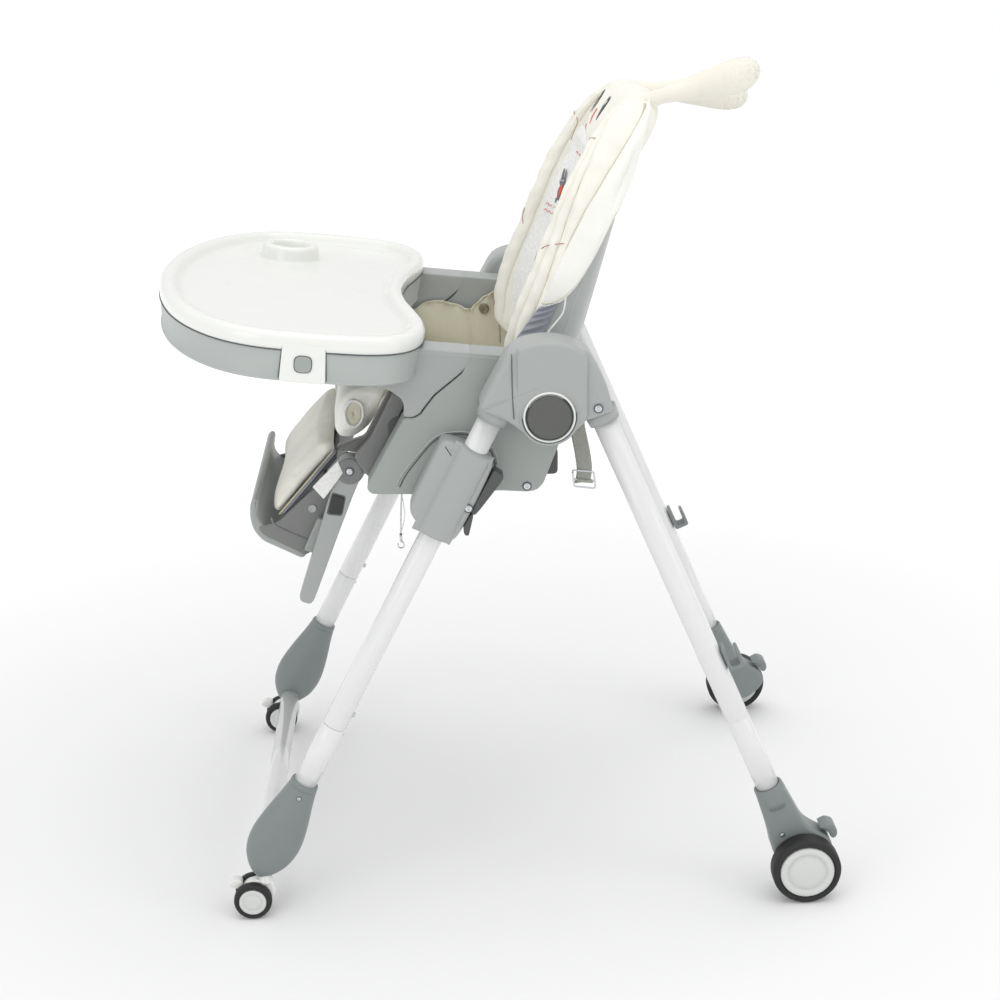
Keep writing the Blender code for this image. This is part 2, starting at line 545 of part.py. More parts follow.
# ================================================================ back
def back_point(x, up, out):
    """Up the shell's rear face from its bottom, and out from it towards the front."""
    y = BACK_AT[0] + up * math.sin(BACK_ANGLE) - out * math.cos(BACK_ANGLE)
    z = BACK_AT[1] + up * math.cos(BACK_ANGLE) + out * math.sin(BACK_ANGLE)
    return Vector((x, y, z))


# (height up the back, half width, depth of the side wings)
BACK_STATIONS = [(0.000, 0.1660, 0.0640), (0.060, 0.1800, 0.0760), (0.120, 0.1830, 0.0720),
                 (0.190, 0.1800, 0.0610), (0.250, 0.1720, 0.0500), (0.300, 0.1580, 0.0390),
                 (0.345, 0.1340, 0.0300), (0.375, 0.1080, 0.0270)]


def channel(half, depth, near, far, roll):
    """Half of a U-shaped section from its middle outwards, then back along its inner face."""
    wide_out, wide_in = half - near, half - far
    lip = depth + roll
    bend_out = min(0.030, 0.80 * (lip - near))
    bend_in = min(0.026, 0.80 * (lip - far))
    outer = [(0.0, near), (wide_out * 0.55, near), (wide_out - 0.030, near + 0.10 * bend_out),
             (wide_out - 0.010, near + 0.43 * bend_out), (wide_out, near + bend_out), (wide_out, lip)]
    inner = [(wide_in, lip), (wide_in, far + bend_in), (wide_in - 0.010, far + 0.42 * bend_in),
             (wide_in - 0.026, far + 0.08 * bend_in), (wide_in * 0.55, far), (0.0, far)]
    return outer, inner


def back_channel(name, near, far, roll, finish):
    rings = []
    for up, half, depth in BACK_STATIONS:
        outer, inner = channel(half, depth, near, far, roll)
        left = outer + inner
        right = [(-x, d) for x, d in left[::-1]][1:-1]
        rings.append([back_point(x, up, d) for x, d in left + right])
    return loft(name, rings, finish)


def back(grey, cloth, dark):
    back_channel("back_shell", 0.0, SHELL_T, -0.004, grey)
    back_channel("back_cushion", SHELL_T + 3 * GAP, SHELL_T + BACK_PAD_T, 0.006, cloth)
    corners = [(-0.050, 0.309), (0.050, 0.309), (0.050, 0.327), (-0.050, 0.327)]
    rings = [[back_point(x, up, out) for x, up in corners] for out in (-0.0080, -2 * GAP)]
    loft("recline_handle", rings, dark, False)

    # Each ear: (distance from the root, half height, half width, rise of its middle).
    stations = [(-0.030, 0.0060, 0.0100, -0.0042), (-0.012, 0.0062, 0.0105, -0.0032),
                (0.003, 0.0065, 0.0115, 0.000), (0.018, 0.0090, 0.0170, 0.001),
                (0.045, 0.0120, 0.0230, 0.004), (0.080, 0.0150, 0.0270, 0.007),
                (0.105, 0.0145, 0.0240, 0.008), (0.118, 0.0100, 0.0150, 0.008)]
    for side, tag in ((1, "left"), (-1, "right")):
        root = Vector((side * EAR_X, 0.2085, 1.0060))
        rings = []
        for out, tall, wide, rise in stations:
            centre = root + Vector((side * 0.10 * out, out, rise))
            turns = [2 * math.pi * i / 16 for i in range(16)]
            rings.append([centre + Vector((wide * math.cos(a), 0, tall * math.sin(a))) for a in turns])
        loft("ear_" + tag, rings, cloth)


# ================================================================ tray
def tray_outline():
    """Half the tray's plan from the front to the child's side, mirrored into a closed ring."""
    front = TRAY_AT[0] + HALF_LENGTH
    half = [(0.0, -front), (0.100, -0.1730), (0.190, -0.1390), (0.262, -0.0800), (0.2920, -0.0050),
            (0.2880, 0.0650), (0.2620, 0.1250), (0.2150, 0.1590), (0.1600, 0.1600), (0.1000, 0.1430),
            (0.0450, 0.1310), (0.0, 0.1280)]
    mirrored = [(-x, y) for x, y in half[-2:0:-1]]
    return smooth_ring(half + mirrored, 3)


def tray_ring(outline, inset, w):
    return [tray_point(x, y, w) for x, y in inset_ring(outline, inset)]


def tray(grey, white, light):
    outline = tray_outline()
    # Rim, sloping wall, floor, then back along the underside.
    top = [(0.0015, -TRAY_SKIRT), (0.0, -0.0120), (0.0010, -0.0050), (0.0050, -0.0010), (0.0110, 0.0),
           (0.0180, -0.0010), (0.0240, -0.0110), (0.0290, -TRAY_FLOOR)]
    under = [(0.0290, -TRAY_FLOOR - 0.0025), (0.0220, -TRAY_FLOOR - 0.0010), (0.0150, -0.0040),
             (0.0080, -0.0040), (0.0042, -0.0080), (0.0042, -TRAY_SKIRT)]
    rings = [tray_ring(outline, d, w) for d, w in top]
    bm = bmesh.new()
    rows = [[bm.verts.new(p) for p in ring] for ring in rings]
    rows += [[bm.verts.new(p) for p in tray_ring(outline, d, w)] for d, w in under]
    count = len(outline)
    for k in range(len(rows)):
        if k == len(rings) - 1:
            continue
        low, high = rows[k], rows[(k + 1) % len(rows)]
        for i in range(count):
            j = (i + 1) % count
            bm.faces.new((low[i], low[j], high[j], high[i]))
    bm.faces.new(rows[len(rings) - 1])
    bm.faces.new(rows[len(rings)])
    lid = finish_mesh("tray_top", bm, white)

    well_w = -TRAY_FLOOR - 0.0012
    ring_shape = [(well_w, CUP_BASE_R), (-0.0110, CUP_BASE_R), (-0.0060, CUP_BASE_R - 0.004),
                  (0.0, CUP_BASE_R - 0.010), (CUP_RISE - 0.002, CUP_BASE_R - 0.0125),
                  (CUP_RISE, CUP_BASE_R - 0.0155), (CUP_RISE - 0.001, CUP_WELL_R + 0.0025),
                  (0.0, CUP_WELL_R + 0.0005), (well_w, CUP_WELL_R)]
    up = Vector((0, math.sin(RAIL_TILT), math.cos(RAIL_TILT)))
    centre = tray_point(CUP_AT[0], CUP_AT[1], 0)
    join(lid, turned("cup_ring", centre, up, ring_shape, None, 28))

    base_low, base_high = -TRAY_DEEP, -TRAY_SKIRT - GAP
    low_inset = BASE_INSET + BASE_DRAFT
    base = loft("tray_base", [tray_ring(outline, low_inset, base_low),
                              tray_ring(outline, BASE_INSET, base_high)], grey)
    hollow = loft("base_hollow", [tray_ring(outline, low_inset + TRAY_WALL, base_low - 0.0020),
                                  tray_ring(outline, BASE_INSET + TRAY_WALL, base_high - TRAY_DECK)], None)
    cut(base, hollow)
    slack = 0.0015
    for side, tag in ((1, "left"), (-1, "right")):
        low, high = sorted((side * (SIDE_IN - slack), side * (SIDE_OUT + slack)))
        notch = [(low, base_low - 0.01), (high, base_low - 0.01), (high, base_high - TRAY_DECK),
                 (low, base_high - TRAY_DECK)]
        rings = [[tray_point(x, y, w) for x, w in notch] for y in (0.090, 0.200)]
        cut(base, loft("rail_notch_" + tag, rings, None, False))

        tab_low, tab_high = TAB_Y - TAB_HALF, TAB_Y + TAB_HALF
        mid = 0.2912
        face = [(tab_low, -0.0150), (tab_low, base_low), (tab_high, base_low), (tab_high, -0.0150)]
        near_x, far_x = mid - 0.0038, mid - 0.0007
        rings = [[tray_point(side * x, y, w) for y, w in face] for x in (near_x, far_x)]
        join(lid, loft("tab_" + tag, rings, None, False))
        gap_y = 0.0004
        room = [(tab_low - gap_y, -0.0100), (tab_low - gap_y, base_low - 0.01),
                (tab_high + gap_y, base_low - 0.01), (tab_high + gap_y, -0.0100)]
        rings = [[tray_point(side * x, y, w) for y, w in room] for x in (0.2750, 0.3000)]
        cut(base, loft("tab_notch_" + tag, rings, None, False))

        middle = tray_point(0, TAB_Y, TRAY_BUTTON_W)
        hole = [(0.2780, TRAY_BUTTON_R + SLIDE_FIT), (0.3000, TRAY_BUTTON_R + SLIDE_FIT)]
        cut(lid, turned("tab_hole_" + tag, middle, X_AXIS * side, hole, None, 24, False))
        shape = [(0.2790, TRAY_BUTTON_R), (mid - 0.0005, TRAY_BUTTON_R), (mid + 0.0008, TRAY_BUTTON_R - 0.002)]
        turned("tray_button_" + tag, middle, X_AXIS * side, shape, grey, 24, False)

    # The post between the child's legs: (drop, half width, half depth, shift towards the rear).
    shape = [(TRAY_SKIRT + TRAY_DECK + 2 * GAP, 0.0330, 0.0260, 0.0), (0.060, 0.0300, 0.0230, -0.001),
             (0.110, 0.0260, 0.0195, -0.002), (POST_DROP - 0.008, 0.0240, 0.0180, -0.003),
             (POST_DROP, 0.0190, 0.0130, -0.003)]
    rings = []
    for drop, wide, deep, shift in shape:
        turns = [2 * math.pi * (i + 0.5) / 20 for i in range(20)]
        rings.append([tray_point(wide * math.cos(a), POST_Y + shift + deep * math.sin(a), -drop)
                      for a in turns])
    loft("crotch_post", rings, light)


# ================================================================ small soft pieces
def side_strap(webbing):
    """Webbing that hangs behind the left hub, with a slide buckle on its end."""
    x0, x1 = 0.1845, 0.1862
    outline = [(0.0945, 0.6330), (0.1085, 0.6330), (0.1135, 0.6000), (0.1165, 0.5620), (0.1205, 0.5620),
               (0.1210, 0.5440), (0.1000, 0.5460), (0.1010, 0.5640), (0.0990, 0.6000)]
    side_prism("side_strap", outline, x0, x1, webbing)


def elastic_loop(webbing):
    route = [(0.1000, -0.1175, 0.5540), (0.1000, -0.1176, 0.5460), (0.1001, -0.1180, 0.5370),
             (0.1002, -0.1186, 0.5270), (0.1003, -0.1194, 0.5170), (0.1003, -0.1202, 0.5060),
             (0.1002, -0.1210, 0.4950), (0.1000, -0.1217, 0.4840), (0.0999, -0.1223, 0.4730),
             (0.0999, -0.1228, 0.4620), (0.1000, -0.1232, 0.4510), (0.1000, -0.1234, 0.4400)]
    curve = bpy.data.curves.new("elastic_loop", "CURVE")
    curve.dimensions = "3D"
    curve.bevel_depth = 0.0011
    curve.bevel_resolution = 2
    curve.use_fill_caps = True
    run = curve.splines.new("POLY")
    run.points.add(len(route) - 1)
    for point, place in zip(run.points, route):
        point.co = (*place, 1)
    made = bpy.data.objects.new("elastic_loop", curve)
    bpy.context.scene.collection.objects.link(made)
    curve.materials.append(webbing)


def build():
    clear_scene()
    grey = material("grey_plastic", (0.36, 0.38, 0.39), 0.45)
    light = material("light_grey_plastic", (0.50, 0.52, 0.52), 0.45)
    blue_grey = material("blue_grey_plastic", (0.30, 0.34, 0.36), 0.45)
    dark = material("dark_plastic", (0.06, 0.065, 0.065), 0.5)
    paint = material("white_paint", (0.82, 0.82, 0.83), 0.3)
    white = material("white_plastic", (0.86, 0.87, 0.84), 0.25)
    rubber = material("black_tyre", (0.012, 0.012, 0.012), 0.7)
    cloth = material("cream_cloth", (0.80, 0.78, 0.68), 0.8)
    webbing = material("grey_webbing", (0.45, 0.46, 0.43), 0.8)

    for side, tag in ((1, "left"), (-1, "right")):
        front_frame(side, tag, paint, blue_grey)
        hub(side, tag, light, dark)
        rear_frame(side, tag, paint, blue_grey, rubber, white)
        caster(side, tag, white, rubber)
        seat_side(side, tag, grey, light)
        height_slider(side, tag, light, dark)
    cross_end = LEG_X - 0.014 - 2 * GAP
    pipe("front_cross_tube", at_x(-cross_end, CROSS_AT), at_x(cross_end, CROSS_AT), CROSS_R, LEG_WALL, paint)
    seat_pan(dark, cloth)
    legrest(grey, light, dark, cloth)
    back(light, cloth, dark)
    tray(grey, white, light)
    side_strap(webbing)
    elastic_loop(webbing)


build()
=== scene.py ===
"""A folding baby high chair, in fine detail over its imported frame.  Metres, +Z up, the chair faces -Y."""
import math

import bmesh
import bpy
import numpy as np
from mathutils import Matrix, Vector


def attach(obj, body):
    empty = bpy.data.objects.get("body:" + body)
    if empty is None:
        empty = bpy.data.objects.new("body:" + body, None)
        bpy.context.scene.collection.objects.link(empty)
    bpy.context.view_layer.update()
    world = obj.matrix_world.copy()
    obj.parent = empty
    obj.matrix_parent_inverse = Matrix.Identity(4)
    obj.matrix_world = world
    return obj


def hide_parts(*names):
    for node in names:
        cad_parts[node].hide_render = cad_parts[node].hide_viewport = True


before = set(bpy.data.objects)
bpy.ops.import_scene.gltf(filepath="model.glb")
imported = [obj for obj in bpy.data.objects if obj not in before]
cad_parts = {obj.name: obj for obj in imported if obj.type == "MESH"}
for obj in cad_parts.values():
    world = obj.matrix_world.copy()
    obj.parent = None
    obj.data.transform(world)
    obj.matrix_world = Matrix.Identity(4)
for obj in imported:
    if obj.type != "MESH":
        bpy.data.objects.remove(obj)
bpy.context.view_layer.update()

TAU = 2 * math.pi


# ---------------------------------------------------------------- shaping helpers
def solid(name, points, faces, finish, smooth=True, uv=None):
    """Makes an object of points and quads or polygons, welds its seam and turns its faces outwards."""
    name = name.strip().replace(" ", "_")
    mesh = bpy.data.meshes.new(name)
    mesh.from_pydata(np.asarray(points, float).reshape(-1, 3).tolist(), [], faces)
    made = bpy.data.objects.new(name, mesh)
    bpy.context.scene.collection.objects.link(made)
    if uv is not None:
        layer = mesh.uv_layers.new(name="cloth")
        corner = np.zeros(len(mesh.loops), np.int32)
        mesh.loops.foreach_get("vertex_index", corner)
        layer.data.foreach_set("uv", np.asarray(uv, float).reshape(-1, 2)[corner].ravel())
    bm = bmesh.new()
    bm.from_mesh(mesh)
    bmesh.ops.remove_doubles(bm, verts=bm.verts, dist=2e-6)
    bmesh.ops.recalc_face_normals(bm, faces=bm.faces)
    bm.to_mesh(mesh)
    bm.free()
    mesh.materials.append(finish)
    if smooth:
        mesh.shade_smooth()
    return made


def skin(name, rows, finish, closed=False, caps=True, uv=None, wrap=True):
    """Skins rows[k, i] of points; wrap joins each row's ends, closed joins the last row to the first, caps fills the first and last rows."""
    rows = np.asarray(rows, float)
    count, wide = rows.shape[:2]
    index = np.arange(count * wide).reshape(count, wide)
    low = index if closed else index[:-1]
    high = np.roll(index, -1, 0) if closed else index[1:]
    if wrap:
        quads = np.stack([low, np.roll(low, -1, 1), np.roll(high, -1, 1), high], -1)
    else:
        quads = np.stack([low[:, :-1], low[:, 1:], high[:, 1:], high[:, :-1]], -1)
    faces = quads.reshape(-1, 4).tolist()
    if caps and not closed and wrap:
        faces += [index[0].tolist(), index[-1].tolist()]
    return solid(name, rows, faces, finish, uv=uv)


def frame_of(axis):
    """Two unit vectors square to an axis."""
    axis = Vector(axis).normalized()
    across = Vector((1, 0, 0)) if abs(axis.x) < 0.7 else Vector((0, 1, 0))
    across = (across - axis * across.dot(axis)).normalized()
    return np.array(axis), np.array(across), np.array(axis.cross(across))


def spin(name, centre, axis, profile, finish, sides=64, closed=False):
    """Turns a profile of (distance along the axis, radius) pairs about the axis."""
    along, across, other = frame_of(axis)
    turn = np.linspace(0, TAU, sides, endpoint=False)
    ring = np.cos(turn)[:, None] * across + np.sin(turn)[:, None] * other
    prof = np.array(profile, float)
    rows = np.array(centre, float) + prof[:, 0, None, None] * along + prof[:, 1, None, None] * ring
    return skin(name, rows, finish, closed)


def rounded(points, radius, steps=7):
    """Rounds each corner of a closed outline with a parabola that starts a radius before it."""
    pts = np.array(points, float)
    size = np.broadcast_to(np.asarray(radius, float), (len(pts),))
    out = []
    for i, here in enumerate(pts):
        before, after = pts[i - 1] - here, pts[(i + 1) % len(pts)] - here
        b, a = np.linalg.norm(before), np.linalg.norm(after)
        start = here + before / b * min(size[i], 0.48 * b)
        end = here + after / a * min(size[i], 0.48 * a)
        t = np.linspace(0, 1, steps)[:, None]
        out.append((1 - t) ** 2 * start + 2 * t * (1 - t) * here + t ** 2 * end)
    return np.concatenate(out)


def even(ring, count):
    """The same closed outline as evenly spaced points."""
    ring = np.vstack([ring, ring[:1]])
    run = np.concatenate([[0], np.cumsum(np.linalg.norm(np.diff(ring, axis=0), axis=1))])
    at = np.linspace(0, run[-1], count, endpoint=False)
    return np.stack([np.interp(at, run, ring[:, k]) for k in range(ring.shape[1])], 1)


def shrunk(ring, distance):
    """Moves a closed plane outline inwards along its normals."""
    step = np.roll(ring, -1, 0) - np.roll(ring, 1, 0)
    step /= np.linalg.norm(step, axis=1)[:, None] + 1e-12
    area = np.sum(ring[:, 0] * np.roll(ring[:, 1], -1) - np.roll(ring[:, 0], -1) * ring[:, 1])
    return ring + math.copysign(distance, area) * np.stack([-step[:, 1], step[:, 0]], 1)


def slab(name, outline, x0, x1, finish, edge=0.002, corner=0.004, count=160, bulge=0.0, centre=None):
    """A (y, z) outline carried from x0 out to x1 with rounded corners and quarter-round edges; bulge raises the outer face as a dome, highest at the centre."""
    ring = even(rounded(outline, corner), count)
    way = 1 if x1 > x0 else -1
    turns = np.radians([0, 18, 36, 54, 72, 90])
    rows = [(x0 + way * edge * (1 - math.cos(t)), shrunk(ring, edge * (1 - math.sin(t)))) for t in turns]
    rows += [(x1 - way * edge * (1 - math.cos(t)),
              shrunk(ring, edge * (1 - math.sin(t)))) for t in turns[::-1]]
    if bulge:
        last = rows[-1][1]
        middle = last.mean(0) if centre is None else np.array(centre)
        for share in (0.93, 0.85, 0.75, 0.62, 0.48, 0.32, 0.16, 0.01):
            rows.append((x1 + way * bulge * (1 - share ** 2), middle + share * (last - middle)))
    grid = [np.column_stack([np.full(count, x), flat]) for x, flat in rows]
    return skin(name, grid, finish)


def smooth_run(stations, count):
    """A smooth curve through rows of numbers, as count rows."""
    pts = np.array(stations, float)
    pts = np.vstack([2 * pts[0] - pts[1], pts, 2 * pts[-1] - pts[-2]])
    at = np.linspace(0, len(stations) - 1 - 1e-9, count)
    i = at.astype(int)
    t = (at - i)[:, None]
    p0, p1, p2, p3 = pts[i], pts[i + 1], pts[i + 2], pts[i + 3]
    return 0.5 * (2 * p1 + (p2 - p0) * t + (2 * p0 - 5 * p1 + 4 * p2 - p3) * t ** 2 + (3 * p1 - p0 - 3 * p2 + p3) * t ** 3)


def smooth_ring(points, per_span):
    """A closed smooth curve through the points."""
    pts = np.array(points, float)
    before, after, later = np.roll(pts, 1, 0), np.roll(pts, -1, 0), np.roll(pts, -2, 0)
    t = np.linspace(0, 1, per_span, endpoint=False)[:, None, None]
    curve = 0.5 * (2 * pts + (after - before) * t + (2 * before - 5 * pts + 4 * after - later) * t ** 2 + (3 * pts - before - 3 * after + later) * t ** 3)
    return curve.transpose(1, 0, 2).reshape(-1, pts.shape[1])


def sweep(name, path, radius, finish, sides=12, flat=1.0, caps=True):
    """A round or flattened section carried along a path; the radius may change along it."""
    path = np.array(path, float)
    way = np.gradient(path, axis=0)
    way /= np.linalg.norm(way, axis=1)[:, None]
    up = np.array([1.0, 0.0, 0.0]) if abs(way[:, 0]).max() < 0.9 else np.array([0.0, 0.0, 1.0])
    side = np.cross(way, up)
    side /= np.linalg.norm(side, axis=1)[:, None]
    other = np.cross(side, way)
    turn = np.linspace(0, TAU, sides, endpoint=False)
    r = np.broadcast_to(np.asarray(radius, float), (len(path),))[:, None, None]
    rows = path[:, None] + r * (np.cos(turn)[None, :, None] * side[:, None] * flat + np.sin(turn)[None, :,
                                                                                                   None] * other[:,
                                                                                                                  None])
    return skin(name, rows, finish, caps=caps)


def put(piece, body, *nodes, material=None):
    """Rides a piece on a body and stands it for CAD nodes; the material argument is not used."""
    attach(piece, body)
    if nodes:
        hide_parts(*nodes)
    return piece


# ---------------------------------------------------------------- surface finishes
def group(name, inputs, outputs):
    """An empty node group with the given sockets."""
    made = bpy.data.node_groups.new(name, "ShaderNodeTree")
    for title, kind, value in inputs:
        socket = made.interface.new_socket(title, in_out="INPUT", socket_type=kind)
        if value is not None:
            socket.default_value = value
    for title, kind in outputs:
        made.interface.new_socket(title, in_out="OUTPUT", socket_type=kind)
    return made, made.nodes.new("NodeGroupInput"), made.nodes.new("NodeGroupOutput")


def noise(tree, scale, detail=4.0, rough=0.55, stretch=None):
    """Noise over the object's own coordinates, optionally stretched."""
    place = tree.nodes.new("ShaderNodeTexCoord")
    made = tree.nodes.new("ShaderNodeTexNoise")
    made.inputs["Scale"].default_value = scale
    made.inputs["Detail"].default_value = detail
    made.inputs["Roughness"].default_value = rough
    if stretch:
        turn = tree.nodes.new("ShaderNodeMapping")
        turn.inputs["Scale"].default_value = stretch
        tree.links.new(place.outputs["Object"], turn.inputs["Vector"])
        tree.links.new(turn.outputs["Vector"], made.inputs["Vector"])
    else:
        tree.links.new(place.outputs["Object"], made.inputs["Vector"])
    return made


def bump(tree, height, distance, strength=1.0, after=None):


    """Adds a bump of a height, in metres, on top of another normal where one is given."""
    made = tree.nodes.new("ShaderNodeBump")
    made.inputs["Distance"].default_value = distance
    made.inputs["Strength"].default_value = strength
    tree.links.new(height, made.inputs["Height"])
    if after is not None:
        tree.links.new(after, made.inputs["Normal"])
    return made


def ranged(tree, value, low, high):


    """Maps a noise from 0.3 to 0.7 onto low to high."""
    made = tree.nodes.new("ShaderNodeMapRange")
    made.inputs["From Min"].default_value = 0.3
    made.inputs["From Max"].default_value = 0.7
    made.inputs["To Min"].default_value = low
    made.inputs["To Max"].default_value = high
    tree.links.new(value, made.inputs["Value"])
    return made.outputs["Result"]


def moulded_group():
    """Fine spark-eroded grain with faint waves, and a little change of gloss."""
    tree, _, out = group("moulded", [], [("Normal", "NodeSocketVector"), ("Gloss", "NodeSocketFloat")])
    fine = bump(tree, noise(tree, 1500, 3).outputs["Fac"], 0.00005, 0.8)
    wave = bump(tree, noise(tree, 28, 2).outputs["Fac"], 0.0006, 0.25, fine.outputs["Normal"])
    tree.links.new(wave.outputs["Normal"], out.inputs["Normal"])
    tree.links.new(ranged(tree, noise(tree, 45, 5).outputs["Fac"], -0.05, 0.05), out.inputs["Gloss"])
    return tree


def cover_group():
    """Soft leather-like cloth: pebble grain under shallow creases, with a faint change of tone."""
    tree, _, out = group("soft cover", [], [("Normal", "NodeSocketVector"), ("Tone", "NodeSocketFloat")])
    place = tree.nodes.new("ShaderNodeTexCoord")
    cell = tree.nodes.new("ShaderNodeTexVoronoi")
    cell.inputs["Scale"].default_value = 620
    tree.links.new(place.outputs["Object"], cell.inputs["Vector"])
    grain = bump(tree, cell.outputs["Distance"], 0.00022, 0.55)
    weave = bump(tree, noise(tree, 1300, 3).outputs["Fac"], 0.0002, 0.5, grain.outputs["Normal"])
    crease = bump(tree, noise(tree, 34, 4, 0.5, (1, 1, 0.35)).outputs["Fac"], 0.0042, 0.36,
                  weave.outputs["Normal"])
    tree.links.new(crease.outputs["Normal"], out.inputs["Normal"])
    tree.links.new(ranged(tree, noise(tree, 16, 3).outputs["Fac"], 0.94, 1.04), out.inputs["Tone"])
    return tree


def thread_group():
    """Crossed threads in the object's own coordinates."""
    tree, _, out = group("threads", [], [("Normal", "NodeSocketVector"), ("Tone", "NodeSocketFloat")])
    place = tree.nodes.new("ShaderNodeTexCoord")
    last = None
    for way in ("Y", "Z"):
        wave = tree.nodes.new("ShaderNodeTexWave")
        wave.bands_direction = way
        wave.inputs["Scale"].default_value = 260
        wave.inputs["Distortion"].default_value = 1.2
        tree.links.new(place.outputs["Object"], wave.inputs["Vector"])
        last = bump(tree, wave.outputs["Fac"], 0.00025, 0.6, last.outputs["Normal"] if last else None)
    tree.links.new(last.outputs["Normal"], out.inputs["Normal"])
    tree.links.new(ranged(tree, noise(tree, 300, 3).outputs["Fac"], 0.9, 1.08), out.inputs["Tone"])
    return tree


MOULDED, COVER, THREAD = moulded_group(), cover_group(), thread_group()


def finish(name, colour, rough, kind=None, metallic=0.0, coat=0.0, sheen=0.0, specular=0.5, through=0.0):
    """A Principled material; kind adds a shared grain group."""
    made = bpy.data.materials.new(name)
    made.use_nodes = True
    tree = made.node_tree
    shader = tree.nodes["Principled BSDF"]
    shader.inputs["Base Color"].default_value = (*colour, 1)
    shader.inputs["Roughness"].default_value = rough
    shader.inputs["Metallic"].default_value = metallic
    shader.inputs["Coat Weight"].default_value = coat
    shader.inputs["Coat Roughness"].default_value = 0.08
    shader.inputs["Sheen Weight"].default_value = sheen
    shader.inputs["Specular IOR Level"].default_value = specular
    if through:
        shader.inputs["Subsurface Weight"].default_value = through
        shader.inputs["Subsurface Radius"].default_value = (0.004, 0.0035, 0.003)
        shader.inputs["Subsurface Scale"].default_value = 1.0
    if kind is not None:
        grain = tree.nodes.new("ShaderNodeGroup")
        grain.node_tree = kind
        tree.links.new(grain.outputs["Normal"], shader.inputs["Normal"])
        if "Gloss" in grain.outputs:
            add = tree.nodes.new("ShaderNodeMath")
            add.operation = "ADD"
            add.inputs[1].default_value = rough
            tree.links.new(grain.outputs["Gloss"], add.inputs[0])
            tree.links.new(add.outputs[0], shader.inputs["Roughness"])
        else:
            tone = tree.nodes.new("ShaderNodeVectorMath")
            tone.operation = "SCALE"
            tone.inputs[0].default_value = colour
            tree.links.new(grain.outputs["Tone"], tone.inputs["Scale"])
            tree.links.new(tone.outputs["Vector"], shader.inputs["Base Color"])
    made.diffuse_color = (*colour, 1)
    return made


GREY = finish("moulded grey", (0.345, 0.367, 0.352), 0.42, MOULDED)
LIGHT = finish("moulded light grey", (0.372, 0.390, 0.380), 0.36, MOULDED)
PALE = finish("moulded pale grey", (0.430, 0.455, 0.442), 0.40, MOULDED)
BLUE = finish("moulded blue grey", (0.215, 0.242, 0.238), 0.42, MOULDED)
DARK = finish("dark fold button", (0.095, 0.098, 0.090), 0.34, MOULDED)
BLACK = finish("black catch", (0.022, 0.022, 0.024), 0.25, MOULDED)
SEAM = finish("joint shadow", (0.10, 0.115, 0.12), 0.8)
WHITE = finish("glossy white moulding", (0.815, 0.825, 0.795), 0.16, MOULDED, coat=0.5, through=0.08)
TUBE = finish("white enamel", (0.78, 0.78, 0.785), 0.22, None, coat=0.6)
RUBBER = finish("tyre", (0.016, 0.016, 0.016), 0.62, MOULDED)
CAP = finish("wheel cap", (0.66, 0.68, 0.66), 0.3, MOULDED)
CHROME = finish("bright steel", (0.62, 0.64, 0.66), 0.14, None, metallic=1.0)
CREAM = finish("cream cover", (0.86, 0.845, 0.765), 0.56, COVER, sheen=0.15)
# Paler cream cloth; on the knee roll it also serves as painted light against the tray's shadow.
PALE_CREAM_AND_PAINTED_LIGHT = finish("pale cream cover and painted light", (0.89, 0.885, 0.84), 0.6, COVER, sheen=0.15)
PLUSH = finish("plush", (0.84, 0.815, 0.72), 0.9, COVER, sheen=0.6)
TAN = finish("tan flap", (0.66, 0.635, 0.50), 0.62, COVER, sheen=0.1)
LINING = finish("grey lining", (0.27, 0.28, 0.33), 0.5, COVER, sheen=0.3)
# Near-black cloth that is painted shade on the seat's shadowed front face.
CHEEK_SHADE = finish("side cheek painted shade", (0.125, 0.122, 0.115), 0.5, COVER, sheen=0.4)
PAD = finish("white insert pad", (0.87, 0.875, 0.86), 0.75, THREAD, sheen=0.2)
PIPING = finish("piping", (0.60, 0.56, 0.40), 0.6, THREAD)
STITCH = finish("reddish stitching", (0.36, 0.17, 0.12), 0.7)
THREADS = finish("cream stitching", (0.70, 0.67, 0.55), 0.7)
WEBBING = finish("grey webbing", (0.36, 0.37, 0.33), 0.75, THREAD)
ELASTIC = finish("white elastic", (0.85, 0.86, 0.86), 0.6, THREAD)
EYE = finish("dark print", (0.035, 0.037, 0.04), 0.4)
PRINT = finish("grey print", (0.17, 0.16, 0.18), 0.6)
PALE_PRINT = finish("pale grey print", (0.36, 0.35, 0.38), 0.6)
RED = finish("red print", (0.75, 0.06, 0.035), 0.5)
PINK = finish("pink print", (0.68, 0.27, 0.22), 0.6)
SNAP = finish("snap button", (0.25, 0.22, 0.16), 0.3, None, metallic=0.7)

# ---------------------------------------------------------------- floor, light and camera
floor_finish = finish("floor", (0.90, 0.90, 0.902), 0.9, specular=0.0)
floor_tree = floor_finish.node_tree
spot = floor_tree.nodes.new("ShaderNodeTexCoord")
away = floor_tree.nodes.new("ShaderNodeVectorMath")
away.operation = "LENGTH"
glow = floor_tree.nodes.new("ShaderNodeMapRange")
glow.interpolation_type = "SMOOTHSTEP"
glow.inputs["From Min"].default_value, glow.inputs["From Max"].default_value = 0.7, 2.4
glow.inputs["To Min"].default_value, glow.inputs["To Max"].default_value = 0.02, 0.28
floor_tree.links.new(spot.outputs["Object"], away.inputs[0])
floor_tree.links.new(away.outputs["Value"], glow.inputs["Value"])
floor_tree.links.new(glow.outputs["Result"], floor_tree.nodes["Principled BSDF"].inputs["Emission Color"])
floor_tree.nodes["Principled BSDF"].inputs["Emission Strength"].default_value = 1.0
floor = solid("floor", [(-40, -40, 0), (40, -40, 0), (40, 40, 0), (-40, 40, 0)], [(0, 1, 2, 3)], floor_finish,
               False)
floor.location.z = -0.0002

